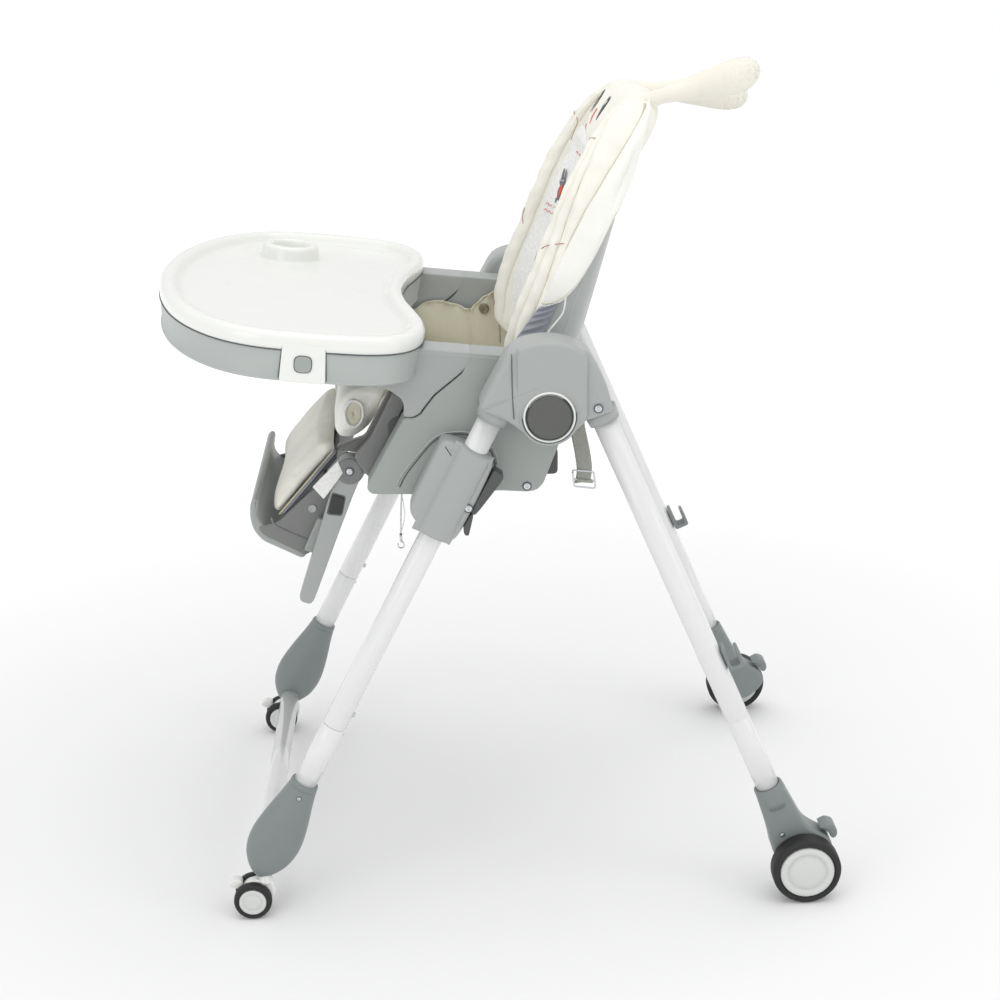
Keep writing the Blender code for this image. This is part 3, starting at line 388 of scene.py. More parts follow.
scene = bpy.context.scene
world = bpy.data.worlds.new("bright room")
scene.world = world
world.use_nodes = True
nodes, links = world.node_tree.nodes, world.node_tree.links
sky = nodes["Background"]
sky.inputs["Strength"].default_value = 0.82
seen = nodes.new("ShaderNodeBackground")
seen.inputs["Color"].default_value = (1.0, 1.0, 1.0, 1)
ray, choose = nodes.new("ShaderNodeLightPath"), nodes.new("ShaderNodeMixShader")
sky.inputs["Color"].default_value = (1.0, 1.0, 1.0, 1)
links.new(ray.outputs["Is Camera Ray"], choose.inputs[0])
links.new(sky.outputs[0], choose.inputs[1])
links.new(seen.outputs[0], choose.inputs[2])
links.new(choose.outputs[0], nodes["World Output"].inputs["Surface"])
scene.view_settings.view_transform = "Standard"
scene.view_settings.look = "None"


def softbox(name, place, target, size, power):


    """A rectangular area light at a place, turned to its target."""
    lamp = bpy.data.lights.new(name, "AREA")
    lamp.shape = "RECTANGLE"
    lamp.size, lamp.size_y = size
    lamp.energy = power
    made = bpy.data.objects.new(name, lamp)
    scene.collection.objects.link(made)
    made.location = place
    made.rotation_euler = (Vector(target) - Vector(place)).to_track_quat("-Z", "Y").to_euler()


softbox("overhead", (0.3, 0.1, 3.4), (0, 0, 0.3), (3.4, 3.4), 34)
softbox("front side", (2.6, -2.4, 1.9), (0, 0, 0.5), (1.8, 2.2), 13)
softbox("rear side", (1.6, 2.9, 1.8), (0, 0, 0.6), (1.4, 2.4), 8)

camera = bpy.data.objects.new("camera", bpy.data.cameras.new("camera"))
scene.collection.objects.link(camera)
scene.camera = camera
camera.data.sensor_width = 36.0
camera.data.lens = 68.4
camera.matrix_world = Matrix(((0.04145, -0.324415, 0.945006, 2.437311),
                              (0.998948, 0.032026, -0.032822, -0.073916),
                              (-0.019617, 0.945373, 0.325401, 1.298459), (0.0, 0.0, 0.0, 1.0)))

# ---------------------------------------------------------------- shared measures
LEG_R, LEG_X = 0.015, 0.2625
HUB = (0.0605, 0.6633)
KNEE = (-0.1823, 0.5653)
LEAN_F, LEAN_R = math.radians(27.5), math.radians(22.9)
BACK_LEAN, RISE = math.radians(16.3), math.radians(6.5)


def front_leg(d, n=0.0):
    """Down the front leg from its hub end, and across it towards the rear."""
    s, c = math.sin(LEAN_F), math.cos(LEAN_F)
    return (-0.006 - d * s + n * c, 0.6548 - d * c - n * s)


def rear_leg(d, n=0.0):


    """The y and z at d down the near fold joint's rear leg and n off its axis."""
    s, c = math.sin(LEAN_R), math.cos(LEAN_R)
    return (0.1273 + d * s + n * c, 0.6498 - d * c + n * s)


def tray_at(x, y, w):
    """From the tilted tray's frame, w up from the rim, to the chair's; works on arrays."""
    c, s = math.cos(RISE), math.sin(RISE)
    x, y, w = np.broadcast_arrays(np.asarray(x, float), np.asarray(y, float), np.asarray(w, float))
    return np.stack([x, -0.250 + y * c + w * s, 0.7757 - y * s + w * c], -1)


def rail_top(y):


    """The height of the arm rail's top, which rises to the front."""
    return 0.7331 - (y + 0.08) * math.tan(RISE)


def screw(name, at, way, radius, body, sink=True):
    """A domed cross-head screw, with its recess cut as four dips in the dome, in a shallow dark counterbore."""
    along, across, other = frame_of(way)
    r = np.concatenate([np.linspace(0.0, 0.62, 22), [0.70, 0.78, 0.86, 0.93, 0.97, 1.0, 1.0]])
    turn = np.linspace(0, TAU, 72, endpoint=False) + 0.5
    dome = 0.34 * np.sqrt(np.clip(1 - (0.92 * r) ** 2, 0, 1))
    dome[-1] = -0.25
    x, y = r[:, None] * np.cos(turn), r[:, None] * np.sin(turn)
    arm = lambda a, b: np.clip((0.13 - np.abs(a)) / 0.05, 0, 1) * np.clip((0.52 - np.abs(b)) / 0.06, 0, 1)
    dip = 0.30 * np.maximum(arm(x, y), arm(y, x))
    rows = np.array(at) + radius * (x[..., None] * across + y[..., None] * other + (dome[:, None] - dip)[...,
                                                                                                          None] * along)
    put(skin(name, rows, CHROME, caps=False), body)
    if sink:
        ring = [(0.0001, radius * 1.0), (0.0005, radius * 1.06), (0.0006, radius * 1.22),
                (0.0003, radius * 1.34), (-0.001, radius * 1.34), (-0.001, radius)]
        put(spin(name + "_cup", at, way, ring, SEAM, 48, True), body)


def seam_line(name, path, body, width=0.0006, finish=SEAM):
    """A thin dark joint line laid on a surface."""
    return put(sweep(name, path, width, finish, 8), body)


# ---------------------------------------------------------------- frame
def legs(side, tag):
    """Enamelled tubes with a pinched joint, the leaf-shaped front foot and the hook behind the rear leg."""
    x = side * LEG_X
    at = lambda p: (x, p[0], p[1])
    way_f = Vector(at(front_leg(1))) - Vector(at(front_leg(0)))
    way_r = Vector(at(rear_leg(1))) - Vector(at(rear_leg(0)))
    top = [(-0.034, 0.0136), (-0.034, LEG_R), (0.4464, LEG_R), (0.4474, LEG_R - 0.0007), (0.4474, 0.0136)]
    put(spin("upper front tube " + tag, at(front_leg(0)), way_f, top, TUBE, 72, True), "front_frame",
         "front_leg_" + tag, material="white_paint")
    low = [(0.4477, 0.0136), (0.4477, LEG_R - 0.0006), (0.4486, LEG_R), (0.557, LEG_R), (0.557, 0.0136)]
    put(spin("lower front tube " + tag, at(front_leg(0)), way_f, low, TUBE, 72, True), "front_frame",
         "front_lower_leg_" + tag, material="white_paint")
    rear = [(-0.038, 0.0136), (-0.038, LEG_R), (0.4335, LEG_R), (0.4343, LEG_R - 0.0006), (0.4351, LEG_R),
            (0.570, LEG_R), (0.570, 0.0136)]
    put(spin("rear tube " + tag, at(rear_leg(0)), way_r, rear, TUBE, 72, True), "rear_frame_" + tag,
         "rear_leg_" + tag, material="white_paint")
    pin = front_leg(0.4245, LEG_R)
    along = Vector(at(front_leg(0, 1))) - Vector(at(front_leg(0, 0)))
    put(spin("leg joint pin " + tag, at(pin), along,
             [(-0.002, 0.0001), (-0.002, 0.0032), (0.0022, 0.0032), (0.0032, 0.0024), (0.0035, 0.0001)],
              CHROME, 24), "front_frame")
    put(spin("leg joint pin inner " + tag, at(front_leg(0.455, LEG_R)), along,
             [(-0.002, 0.0001), (-0.002, 0.002), (0.0012, 0.002), (0.0015, 0.0001)], CHROME, 24),
         "front_frame")

    # The foot's section is an oval whose sides pinch to a soft edge front and rear.
    stations = [(-0.001, 0.0172, 0.0172), (0.004, 0.0182, 0.0178), (0.025, 0.0222, 0.0192),
                (0.052, 0.0285, 0.0212), (0.080, 0.0333, 0.0220), (0.100, 0.0334, 0.0218),
                (0.118, 0.0292, 0.0208), (0.132, 0.0210, 0.0190), (0.1395, 0.0135, 0.0160),
                (0.1428, 0.0070, 0.0110), (0.1436, 0.0012, 0.0030)]
    run = smooth_run(stations, 90)
    turn = np.linspace(0, TAU, 96, endpoint=False)
    c, s = np.cos(turn), np.sin(turn)
    wide = np.sign(c) * np.abs(c) ** 0.94
    thick = np.sign(s) * np.abs(s) ** 1.12
    d = 0.5354 + run[:, 0, None] + 0 * turn
    n = run[:, 1, None] * wide
    sf, cf = math.sin(LEAN_F), math.cos(LEAN_F)
    rows = np.stack([x + run[:, 2, None] * thick, -0.006 - d * sf + n * cf, 0.6548 - d * cf - n * sf], -1)
    put(skin("front foot " + tag, rows, BLUE), "front_frame", "front_foot_" + tag,
        material="blue_grey_plastic")
    collar = [(0.5346, 0.0154), (0.5346, 0.0168), (0.5356, 0.0179), (0.5392, 0.0185), (0.5420, 0.0183),
              (0.5420, 0.0154)]
    put(spin("foot collar " + tag, at(front_leg(0)), way_f, collar, BLUE, 72, True), "front_frame")
    screw("foot screw " + tag, (x + side * 0.0186, *front_leg(0.5520)), (side, 0, 0), 0.0024, "front_frame")

    hook = [(0.3350, 0.0153), (0.3690, 0.0153), (0.3690, 0.0363), (0.3430, 0.0363), (0.3430, 0.0313),
            (0.3640, 0.0313), (0.3640, 0.0203), (0.3350, 0.0203)]
    put(slab("tray hook " + tag, [rear_leg(*p) for p in hook], x - 0.012, x + 0.012, BLUE, 0.0018, 0.0040,
             140), "rear_frame_" + tag, "tray_hook_" + tag, material="blue_grey_plastic")


def casters(side, tag):
    """Twin wheels with flat white discs, a rounded body between them and a small lever."""
    cx, cy, cz = side * 0.2715, -0.327, 0.0245
    for k, way in (("out", side), ("in", -side)):
        tread = [(0.0083, 0.0060), (0.0083, 0.0232), (0.0092, 0.0243), (0.0120, 0.0245), (0.0160, 0.0243),
                 (0.0190, 0.0232), (0.0199, 0.0212), (0.0197, 0.0186), (0.0190, 0.0178), (0.0150, 0.0176),
                 (0.0150, 0.0060)]
        nodes = ("caster_wheel_" + tag,) if k == "out" else ()
        put(spin("caster tyre %s %s" % (k, tag), (cx, cy, cz), (way, 0, 0), tread, RUBBER, 80, True),
             "caster_wheels_" + tag, *nodes, material="black_tyre")
        disc = [(0.0120, 0.0001), (0.0120, 0.0174), (0.0192, 0.0174), (0.0200, 0.0166), (0.0202, 0.0150),
                (0.0203, 0.0126), (0.0196, 0.0118), (0.0197, 0.0108), (0.0206, 0.0098), (0.0209, 0.0060),
                (0.0210, 0.0001)]
        put(spin("caster disc %s %s" % (k, tag), (cx, cy, cz), (way, 0, 0), disc, CAP, 64),
            "caster_wheels_" + tag, material="white_plastic")
    body = [(cy - 0.0150, 0.0200), (cy - 0.004, 0.0120), (cy + 0.010, 0.0100), (cy + 0.022, 0.0170),
            (cy + 0.0285, 0.0300), (cy + 0.0275, 0.0455), (cy + 0.0220, 0.0500), (cy + 0.0060, 0.0500),
            (cy - 0.0080, 0.0462), (cy - 0.0165, 0.0360)]
    put(slab("caster body " + tag, body, cx - 0.0078, cx + 0.0078, WHITE, 0.0025, 0.006, 120),
        "caster_" + tag, "caster_fork_" + tag, material="white_plastic")
    put(spin("caster stem " + tag, (cx, -0.311, 0.044), (0, 0, 1),
             [(0, 0.0001), (0, 0.0105), (0.0045, 0.0100), (0.006, 0.0078), (0.012, 0.0062), (0.0300, 0.0050),
               (0.0300, 0.0001)], WHITE, 40), "caster_" + tag)
    lever = [(cy - 0.0190, 0.0370), (cy - 0.0120, 0.0440), (cy - 0.0150, 0.0500), (cy - 0.0235, 0.0512),
             (cy - 0.0300, 0.0470), (cy - 0.0310, 0.0425), (cy - 0.0255, 0.0400)]
    put(slab("caster lever " + tag, lever, cx - 0.0070, cx + 0.0070, WHITE, 0.0018, 0.0035, 90),
         "caster_brake_" + tag, "caster_brake_" + tag, material="white_plastic")


def rear_wheels(side, tag):
    """A tyre with rounded shoulders, a dished cap, the bracket that carries it and the pedal above."""
    wheel = "rear_wheel_" + tag
    centre = (side * 0.2916, 0.3855, 0.0445)
    tread = [(-0.0130, 0.0352), (-0.0130, 0.0410), (-0.0118, 0.0434), (-0.0090, 0.0444), (-0.0030, 0.0445),
             (0.0030, 0.0445), (0.0085, 0.0443), (0.0118, 0.0430), (0.0132, 0.0404), (0.0132, 0.0382),
             (0.0122, 0.0362), (0.0104, 0.0352)]
    put(spin("rear tyre " + tag, centre, (side, 0, 0), tread, RUBBER, 120, True), wheel, "rear_tyre_" + tag,
         material="black_tyre")
    cap = [(-0.0130, 0.0060), (-0.0130, 0.0345), (0.0090, 0.0350), (0.0122, 0.0346), (0.0136, 0.0330),
           (0.0141, 0.0300), (0.0136, 0.0268), (0.0120, 0.0256), (0.0112, 0.0248), (0.0114, 0.0236),
           (0.0128, 0.0222), (0.0139, 0.0160), (0.0143, 0.0080), (0.0144, 0.0001)]
    put(spin("rear wheel cap " + tag, centre, (side, 0, 0), cap, CAP, 96), wheel, "rear_hubcap_" + tag,
         material="white_plastic")
    frame_body = "rear_frame_" + tag
    foot = [rear_leg(0.5435, 0.0186), rear_leg(0.5435, -0.0186), (0.3385, 0.0905), (0.3455, 0.0580),
            (0.3580, 0.0420), (0.3740, 0.0340), (0.3960, 0.0335), (0.4170, 0.0500), (0.4245, 0.0640),
            (0.4170, 0.0810), (0.3985, 0.0905), (0.3850, 0.1010)]
    x0, x1 = side * 0.2435, side * 0.2780
    put(slab("rear foot " + tag, foot, x0, x1, BLUE, 0.0055, 0.012, 220, 0.001), frame_body,
        "rear_foot_" + tag, material="blue_grey_plastic")
    way_r = Vector((0, *rear_leg(1))) - Vector((0, *rear_leg(0)))
    collar = [(0.5405, 0.0154), (0.5405, 0.0176), (0.5420, 0.0189), (0.5600, 0.0194), (0.5700, 0.0194),
              (0.5700, 0.0154)]
    put(spin("rear collar " + tag, (side * LEG_X, *rear_leg(0)), way_r, collar, BLUE, 72, True), frame_body)
    pedal = [(0.4040, 0.0925), (0.4150, 0.0985), (0.4255, 0.0945), (0.4290, 0.0850), (0.4265, 0.0775),
             (0.4205, 0.0775), (0.4170, 0.0860)]
    put(slab("rear brake pedal " + tag, pedal, side * 0.2500, side * 0.2760, BLUE, 0.0020, 0.004, 110),
         "rear_brake_" + tag, "rear_brake_" + tag, material="blue_grey_plastic")
    screw("rear foot screw " + tag, (side * 0.2792, 0.3560, 0.0870), (side, 0, 0), 0.0026, frame_body)


def hubs(side, tag):
    """Two overlapping shells with a soft dome, the ring stack round a dark button, joint lines and screws."""
    skin_out = [(-0.0215, 0.6775), (-0.0200, 0.6720), (-0.0100, 0.6672), (0.0116, 0.6575), (0.0279, 0.6440),
                (0.0420, 0.6325), (0.0605, 0.6277), (0.0790, 0.6325), (0.0935, 0.6450), (0.1068, 0.6560),
                (0.1072, 0.7375), (0.0900, 0.7485), (0.0605, 0.7545), (0.0320, 0.7505), (0.0143, 0.7412),
                (0.0020, 0.7200)]
    put(slab("fold joint shell " + tag, skin_out, side * 0.2430, side * 0.2985, LIGHT, 0.0085, 0.012, 260,
              0.0022, (0.050, 0.700)), "front_frame", "hub_housing_" + tag, material="light_grey_plastic")
    rear = [(0.0900, 0.7420), (0.1085, 0.7385), (0.1200, 0.7180), (0.1300, 0.6950), (0.1372, 0.6680),
            (0.1345, 0.6635), (0.1105, 0.6545), (0.0905, 0.6540)]
    put(slab("rear leg shell " + tag, rear, side * 0.2430, side * 0.2905, LIGHT, 0.0060, 0.008, 180, 0.001),
         "rear_frame_" + tag, "rear_hub_" + tag, material="light_grey_plastic")
    at = (0, *HUB)
    ring = lambda name, prof, mat, body: put(spin(name + tag, at, (side, 0, 0), prof, mat, 120, True), body)
    ring("hub outer ring ", [(0.2940, 0.0322), (0.2986, 0.0322), (0.3000, 0.0334), (0.3002, 0.0346),
                             (0.2988, 0.0356), (0.2940, 0.0358)], LIGHT, "front_frame")
    ring("hub groove ", [(0.2975, 0.0296), (0.2990, 0.0296), (0.2990, 0.0325), (0.2975, 0.0325)], SEAM,
          "front_frame")
    ring("hub bright ring ", [(0.2980, 0.0280), (0.3016, 0.0284), (0.3028, 0.0292), (0.3028, 0.0300),
                              (0.3014, 0.0309), (0.2980, 0.0310)], WHITE, "front_frame")
    ring("hub inner groove ", [(0.2985, 0.0264), (0.3000, 0.0264), (0.3000, 0.0284), (0.2985, 0.0284)], SEAM,
          "front_frame")
    button = [(0.2905, 0.0001), (0.2905, 0.0262), (0.3020, 0.0262), (0.3042, 0.0256), (0.3051, 0.0244),
              (0.3049, 0.0226), (0.3050, 0.0120), (0.3052, 0.0001)]
    put(spin("fold button " + tag, at, (side, 0, 0), button, DARK, 120), "fold_button_" + tag,
        "fold_button_" + tag, material="dark_plastic")
    lit = [(side * (0.2986 + 0.0022 * (1 - ((z - 0.70) / 0.06) ** 2)), y, z) for y,
           z in ((0.0172, 0.7405), (0.0172, 0.72), (0.0173, 0.70), (0.0178, 0.68), (0.0188, 0.6620))]
    seam_line("hub joint line front " + tag, smooth_run(lit, 40) - np.array([side * 0.0006, 0, 0]),
               "front_frame", 0.0006)
    lit2 = [(side * 0.2990, 0.0232, 0.7450), (side * 0.3005, 0.0230, 0.72), (side * 0.3008, 0.0232, 0.70),
            (side * 0.2998, 0.0238, 0.675), (side * 0.2990, 0.0250, 0.6560)]
    seam_line("hub step line front " + tag, smooth_run(lit2, 40) - np.array([side * 0.0007, 0, 0]),
               "front_frame", 0.00045, LIGHT)
    screw("hub screw front " + tag, (side * 0.2925, 0.0029, 0.6745), (side, 0, 0), 0.0042, "front_frame")
    screw("hub screw rear " + tag, (side * 0.2920, 0.1190, 0.6695), (side, 0, 0), 0.0042, "rear_frame_" + tag)
    socket = [(0.004, 0.0152), (0.004, 0.0190), (-0.006, 0.0200), (-0.012, 0.0200), (-0.012, 0.0152)]
    way_r = Vector((0, *rear_leg(1))) - Vector((0, *rear_leg(0)))
    way_f = Vector((0, *front_leg(1))) - Vector((0, *front_leg(0)))
    put(spin("front leg socket " + tag, (side * LEG_X, *front_leg(0)), way_f, socket, LIGHT, 72, True),
         "front_frame")
    put(spin("rear leg socket " + tag, (side * LEG_X, *rear_leg(0)), way_r, socket, LIGHT, 72, True),
         "rear_frame_" + tag)


def sliders(side, tag):
    """The housing on the leg: a rounded block, a raised rib over the tube, a lever behind and a screw."""
    body = [(0.0475, -0.0400), (0.0432, -0.0140), (0.0414, 0.0118), (0.0482, 0.0279), (0.1060, 0.0301),
            (0.1563, 0.0286), (0.1660, 0.0180), (0.1681, 0.0002), (0.1527, -0.0353), (0.1380, -0.0420),
            (0.0560, -0.0430)]
    put(slab("height slider " + tag, [front_leg(*p) for p in body], side * 0.2360, side * 0.2745, LIGHT,
              0.0075, 0.017, 240), "seat", "height_slider_" + tag, material="light_grey_plastic")
    # The rib is half a barrel over the tube, its radius easing into the block at both sides.
    d = np.linspace(0.0425, 0.1655, 60)
    n = np.linspace(-0.0270, 0.0240, 70)
    dd, nn = np.meshgrid(d, n, indexing="ij")
    arch = np.clip(1 - (nn / 0.0205) ** 2, 0, 1) ** 0.62
    end = np.clip(np.minimum(dd - 0.0425, 0.1655 - dd) / 0.004, 0, 1) ** 0.5
    rim = np.clip(np.minimum(nn + 0.0270, 0.0240 - nn) / 0.004, 0, 1) ** 0.5
    lift = 0.2715 + 0.0034 * end * rim + 0.0098 * arch * end
    s, c = math.sin(LEAN_F), math.cos(LEAN_F)
    place = np.stack([side * lift, -0.006 - dd * s + nn * c, 0.6548 - dd * c - nn * s], -1)
    put(skin("slider rib " + tag, place, LIGHT, wrap=False), "seat")
    lever = [(0.0560, 0.0300), (0.0570, 0.0440), (0.0640, 0.0455), (0.1080, 0.0375), (0.1180, 0.0350),
             (0.1180, 0.0290)]
    lower = [(0.1180, 0.0300), (0.1185, 0.0335), (0.1450, 0.0400), (0.1462, 0.0345), (0.1380, 0.0290)]
    put(slab("height lever " + tag, [front_leg(*p) for p in lever], side * 0.2530, side * 0.2730, BLACK_GREY,
              0.0015, 0.003, 90), "height_lever_" + tag, "height_lever_" + tag, material="dark_plastic")
    put(slab("height lever tab " + tag, [front_leg(*p) for p in lower], side * 0.2530, side * 0.2730,
              BLACK_GREY, 0.0015, 0.003, 80), "height_lever_" + tag)
    screw("slider screw " + tag, (side * 0.2752, *front_leg(0.1125, 0.0235)), (side, 0, 0), 0.0042, "seat")


SEAM_RUN = [(-0.0245, 0.7268), (-0.0300, 0.7140), (-0.0398, 0.7037), (-0.0484, 0.6966), (-0.0742, 0.6762),
            (-0.0879, 0.6591), (-0.0918, 0.6530), (-0.1016, 0.6483), (-0.1120, 0.6500)]


def sides(side, tag):
    """Side panel and the arm's front cover, meeting on a stepped joint line; an arch frames the slider."""
    panel = [(-0.0300, rail_top(-0.0300)), *[(y + 0.0012, z - 0.0010) for y, z in SEAM_RUN[2:]],
             (-0.1591, 0.5640), (-0.1590, 0.5570), (-0.1530, 0.5524), (-0.1000, 0.5505), (0.0040, 0.5520),
             (0.0371, 0.5493), (0.0480, 0.5510), (0.0560, 0.5590), (0.0880, 0.6400), (0.0880, 0.7020),
             (0.0700, rail_top(0.0700))]
    put(slab("side panel " + tag, panel, side * 0.1925, side * 0.2350, GREY, 0.0022, 0.0045, 300), "seat",
         "seat_side_" + tag, material="grey_plastic")
    cover = [(-0.0270, rail_top(-0.0270))] + SEAM_RUN[1:] + [(-0.1105, 0.6640), (-0.1140, 0.6730),
                                                             (-0.1263, 0.6825), (-0.1600, 0.6960),
                                                             (-0.2600, 0.7260), (-0.2740, 0.7330),
                                                             (-0.2740, rail_top(-0.2740))]
    put(slab("arm cover " + tag, cover, side * 0.1925, side * 0.2352, LIGHT, 0.0022, 0.0035, 280), "seat",
         "arm_cover_" + tag, material="light_grey_plastic")
    # A raised lip along the rail's top and the panel's own edge bead, both drawn in pale grey as painted highlights.
    lip = [(side * 0.2350, y, rail_top(y) - 0.0052) for y in np.linspace(-0.268, 0.066, 40)]
    seam_line("rail step line " + tag, lip, "seat", 0.0005, PALE)
    # The pale bead round the arch is a painted highlight on its edge.
    arch = [(side * 0.2354, y, z) for y, z in ((-0.1235, 0.5640), (-0.1150, 0.5790), (-0.0999, 0.5975),
                                               (-0.0800, 0.6190), (-0.0674, 0.6265), (-0.0552, 0.6290),
                                               (-0.0370, 0.6285), (-0.0200, 0.6215), (-0.0060, 0.6085),
                                               (-0.0005, 0.5960), (0.0010, 0.5860))]
    seam_line("slider arch bead " + tag, smooth_run(arch, 90), "seat", 0.0011, PALE)
    inner = [(p[0] - side * 0.0002, p[1] + (-0.055 - p[1]) * 0.055, p[2] - 0.0030) for p in arch]
    seam_line("slider arch gap " + tag, smooth_run(inner, 90), "seat", 0.0008, SEAM)
    screw("side panel screw " + tag, (side * 0.2356, 0.0360, 0.5570), (side, 0, 0), 0.0042, "seat")


BLACK_GREY = finish("dark lever", (0.075, 0.078, 0.078), 0.4, MOULDED)


# ---------------------------------------------------------------- leg rest
def leg_pad(down, out):
    """Down the calf board from the knee and out from it; works on arrays, gives y and z."""
    s, c = math.sin(math.radians(41.5)), math.cos(math.radians(41.5))
    return KNEE[0] - down * s - out * c, KNEE[1] - down * c + out * s


def along_arm(d, n):


    """The y and z at d down the leg rest's arm from the knee and n off its axis."""
    s, c = math.sin(math.radians(20.2)), math.cos(math.radians(20.2))
    return (KNEE[0] - d * s + n * c, KNEE[1] - d * c - n * s)


def legrest_side(side, tag):
    """The tapered arm with its round head, catch and screw, and the cheek beside the cushion, dark as painted shade."""
    head = [(KNEE[0] + 0.0186 * math.cos(a),
             KNEE[1] + 0.0186 * math.sin(a)) for a in np.radians(np.linspace(215, -55, 30))]
    shape = head + [along_arm(d, n) for d, n in ((0.030, 0.0140), (0.080, 0.0122), (0.150, 0.0106),
                                                 (0.181, 0.0096), (0.187, 0.0062), (0.187, -0.0062),
                                                 (0.181, -0.0096), (0.150, -0.0106), (0.080, -0.0122),
                                                 (0.030, -0.0140))]
    put(slab("leg rest arm " + tag, shape, side * 0.1618, side * 0.1785, LIGHT, 0.0022, 0.004, 260),
        "legrest", "legrest_arm_" + tag, material="light_grey_plastic")
    disc = [(0.1750, 0.0001), (0.1750, 0.0170), (0.1800, 0.0170), (0.1810, 0.0160), (0.1812, 0.0120),
            (0.1808, 0.0112), (0.1808, 0.0001)]
    # The knee disc is in the darker grey that is painted shade.
    put(spin("knee disc " + tag, (0, *KNEE), (side, 0, 0), disc, SHADED_GREY, 72), "legrest")
    screw("knee screw " + tag, (side * 0.1812, *KNEE), (side, 0, 0), 0.0040, "legrest")
    catch = [along_arm(d, n) for d, n in ((0.0335, -0.0125), (0.0330, 0.0060), (0.0600, 0.0092),
                                          (0.0640, -0.0105))]
    put(slab("leg rest catch well " + tag, catch, side * 0.1700, side * 0.1789, SEAM, 0.0004, 0.004, 90),
         "legrest")
    inner = [along_arm(d, n) for d, n in ((0.0355, -0.0108), (0.0350, 0.0045), (0.0580, 0.0075),
                                          (0.0615, -0.0088))]
    put(slab("leg rest catch " + tag, inner, side * 0.1700, side * 0.1800, BLACK, 0.0012, 0.0035, 90),
         "legrest_button_" + tag, "legrest_button_" + tag, material="dark_plastic")
    fold = [(-0.1760, 0.5885), (-0.1700, 0.5760), (-0.1590, 0.5600), (-0.1515, 0.5570), (-0.1420, 0.5900),
            (-0.1080, 0.6560), (-0.1100, 0.6700), (-0.1240, 0.6680), (-0.1540, 0.6110)]
    shade_sheet = [(-0.1990, 0.5960), (-0.1780, 0.5880), (-0.1500, 0.5900), (-0.1100, 0.6560), (-0.1160, 0.6660),
            (-0.1300, 0.6660), (-0.1620, 0.6080)]
    # A near-black sheet of painted shade over the seat's front face, behind the cheek.
    put(slab("seat cheek lining " + tag, shade_sheet, side * 0.1620, side * 0.1755, CHEEK_SHADE, 0.0020, 0.005, 140),
         "seat")
    # The seat cheek is in the darker grey that is painted shade.
    put(slab("seat cheek " + tag, fold, side * 0.1760, side * 0.1905, SHADED_GREY, 0.0025, 0.006, 160), "seat")


# The grey moulding darkened: painted shade for grey parts that sit in shade under the seat and the pads.
SHADED_GREY = finish("grey moulding in painted shade", (0.20, 0.205, 0.20), 0.5, MOULDED)


def foot_rest():
    """The foot plate: a thick rounded lip that turns up at its front edge, with flat cheeks inside the arms."""
    plate = [(-0.2480, 0.4385), (-0.2990, 0.4655), (-0.3090, 0.4790), (-0.3130, 0.4950), (-0.3120, 0.5150),
             (-0.3060, 0.5240), (-0.2990, 0.5215), (-0.3030, 0.4990), (-0.2955, 0.4865), (-0.2375, 0.4555)]
    put(slab("foot plate", plate, -0.1500, 0.1500, GREY, 0.0045, 0.007, 220), "foot_plate", "foot_plate",
         material="grey_plastic")
    for side, tag in ((1, "left"), (-1, "right")):
        # The cheeks and their ridges are in the darker grey that is painted shade under the pad.
        cheek = [(-0.2450, 0.4450), (-0.2970, 0.4740), (-0.3040, 0.4850), (-0.2860, 0.4890),
                 (-0.2760, 0.4920), (-0.2380, 0.5270), (-0.2200, 0.5400), (-0.2060, 0.5280),
                 (-0.2330, 0.4520)]
        put(slab("foot plate cheek " + tag, cheek, side * 0.1450, side * 0.1510, SHADED_GREY, 0.0012, 0.005,
                 160), "foot_plate")
        ridge = [(side * 0.1512, y, z) for y, z in ((-0.2380, 0.4640), (-0.2700, 0.4800), (-0.2820, 0.4880),
                                                    (-0.2860, 0.4980))]
        seam_line("foot cheek ridge " + tag, smooth_run(ridge, 30), "foot_plate", 0.0014, SHADED_GREY)
        put(spin("foot cheek eye " + tag, (0, -0.2330, 0.5080), (side, 0, 0),
                 [(0.1500, 0.0001), (0.1500, 0.0052), (0.1524, 0.0052), (0.1530, 0.0042), (0.1522, 0.0034),
                  (0.1522, 0.0001)], PALE, 40), "foot_plate")
        guide = [along_arm(d, n) for d, n in ((0.0780, -0.0180), (0.0780, 0.0080), (0.1250, 0.0080),
                                              (0.1250, -0.0220))]
        put(slab("foot plate guide " + tag, guide, side * 0.1470, side * 0.1615, GREY, 0.001, 0.003, 100),
             "foot_plate")


# ---------------------------------------------------------------- tray
TRAY_HALF = [(0.0, -0.1700), (0.080, -0.1640), (0.150, -0.1490), (0.205, -0.1280), (0.250, -0.1000),
             (0.282, -0.0670), (0.3000, -0.0280), (0.3050, 0.0200), (0.3040, 0.0640), (0.2990, 0.1030),
             (0.2850, 0.1340), (0.2600, 0.1560), (0.2230, 0.1680), (0.1780, 0.1690), (0.1300, 0.1600),
             (0.0700, 0.1470), (0.0, 0.1410)]
TRAY_RING = smooth_ring(TRAY_HALF + [(-x, y) for x, y in TRAY_HALF[-2:0:-1]], 12)


def tray_rows(profile):
    """Rings of the tray's outline, each moved in and up as the profile says."""
    rows = []
    for inset, w in profile:
        flat = shrunk(TRAY_RING, inset)
        rows.append(tray_at(flat[:, 0], flat[:, 1], w))
    return rows


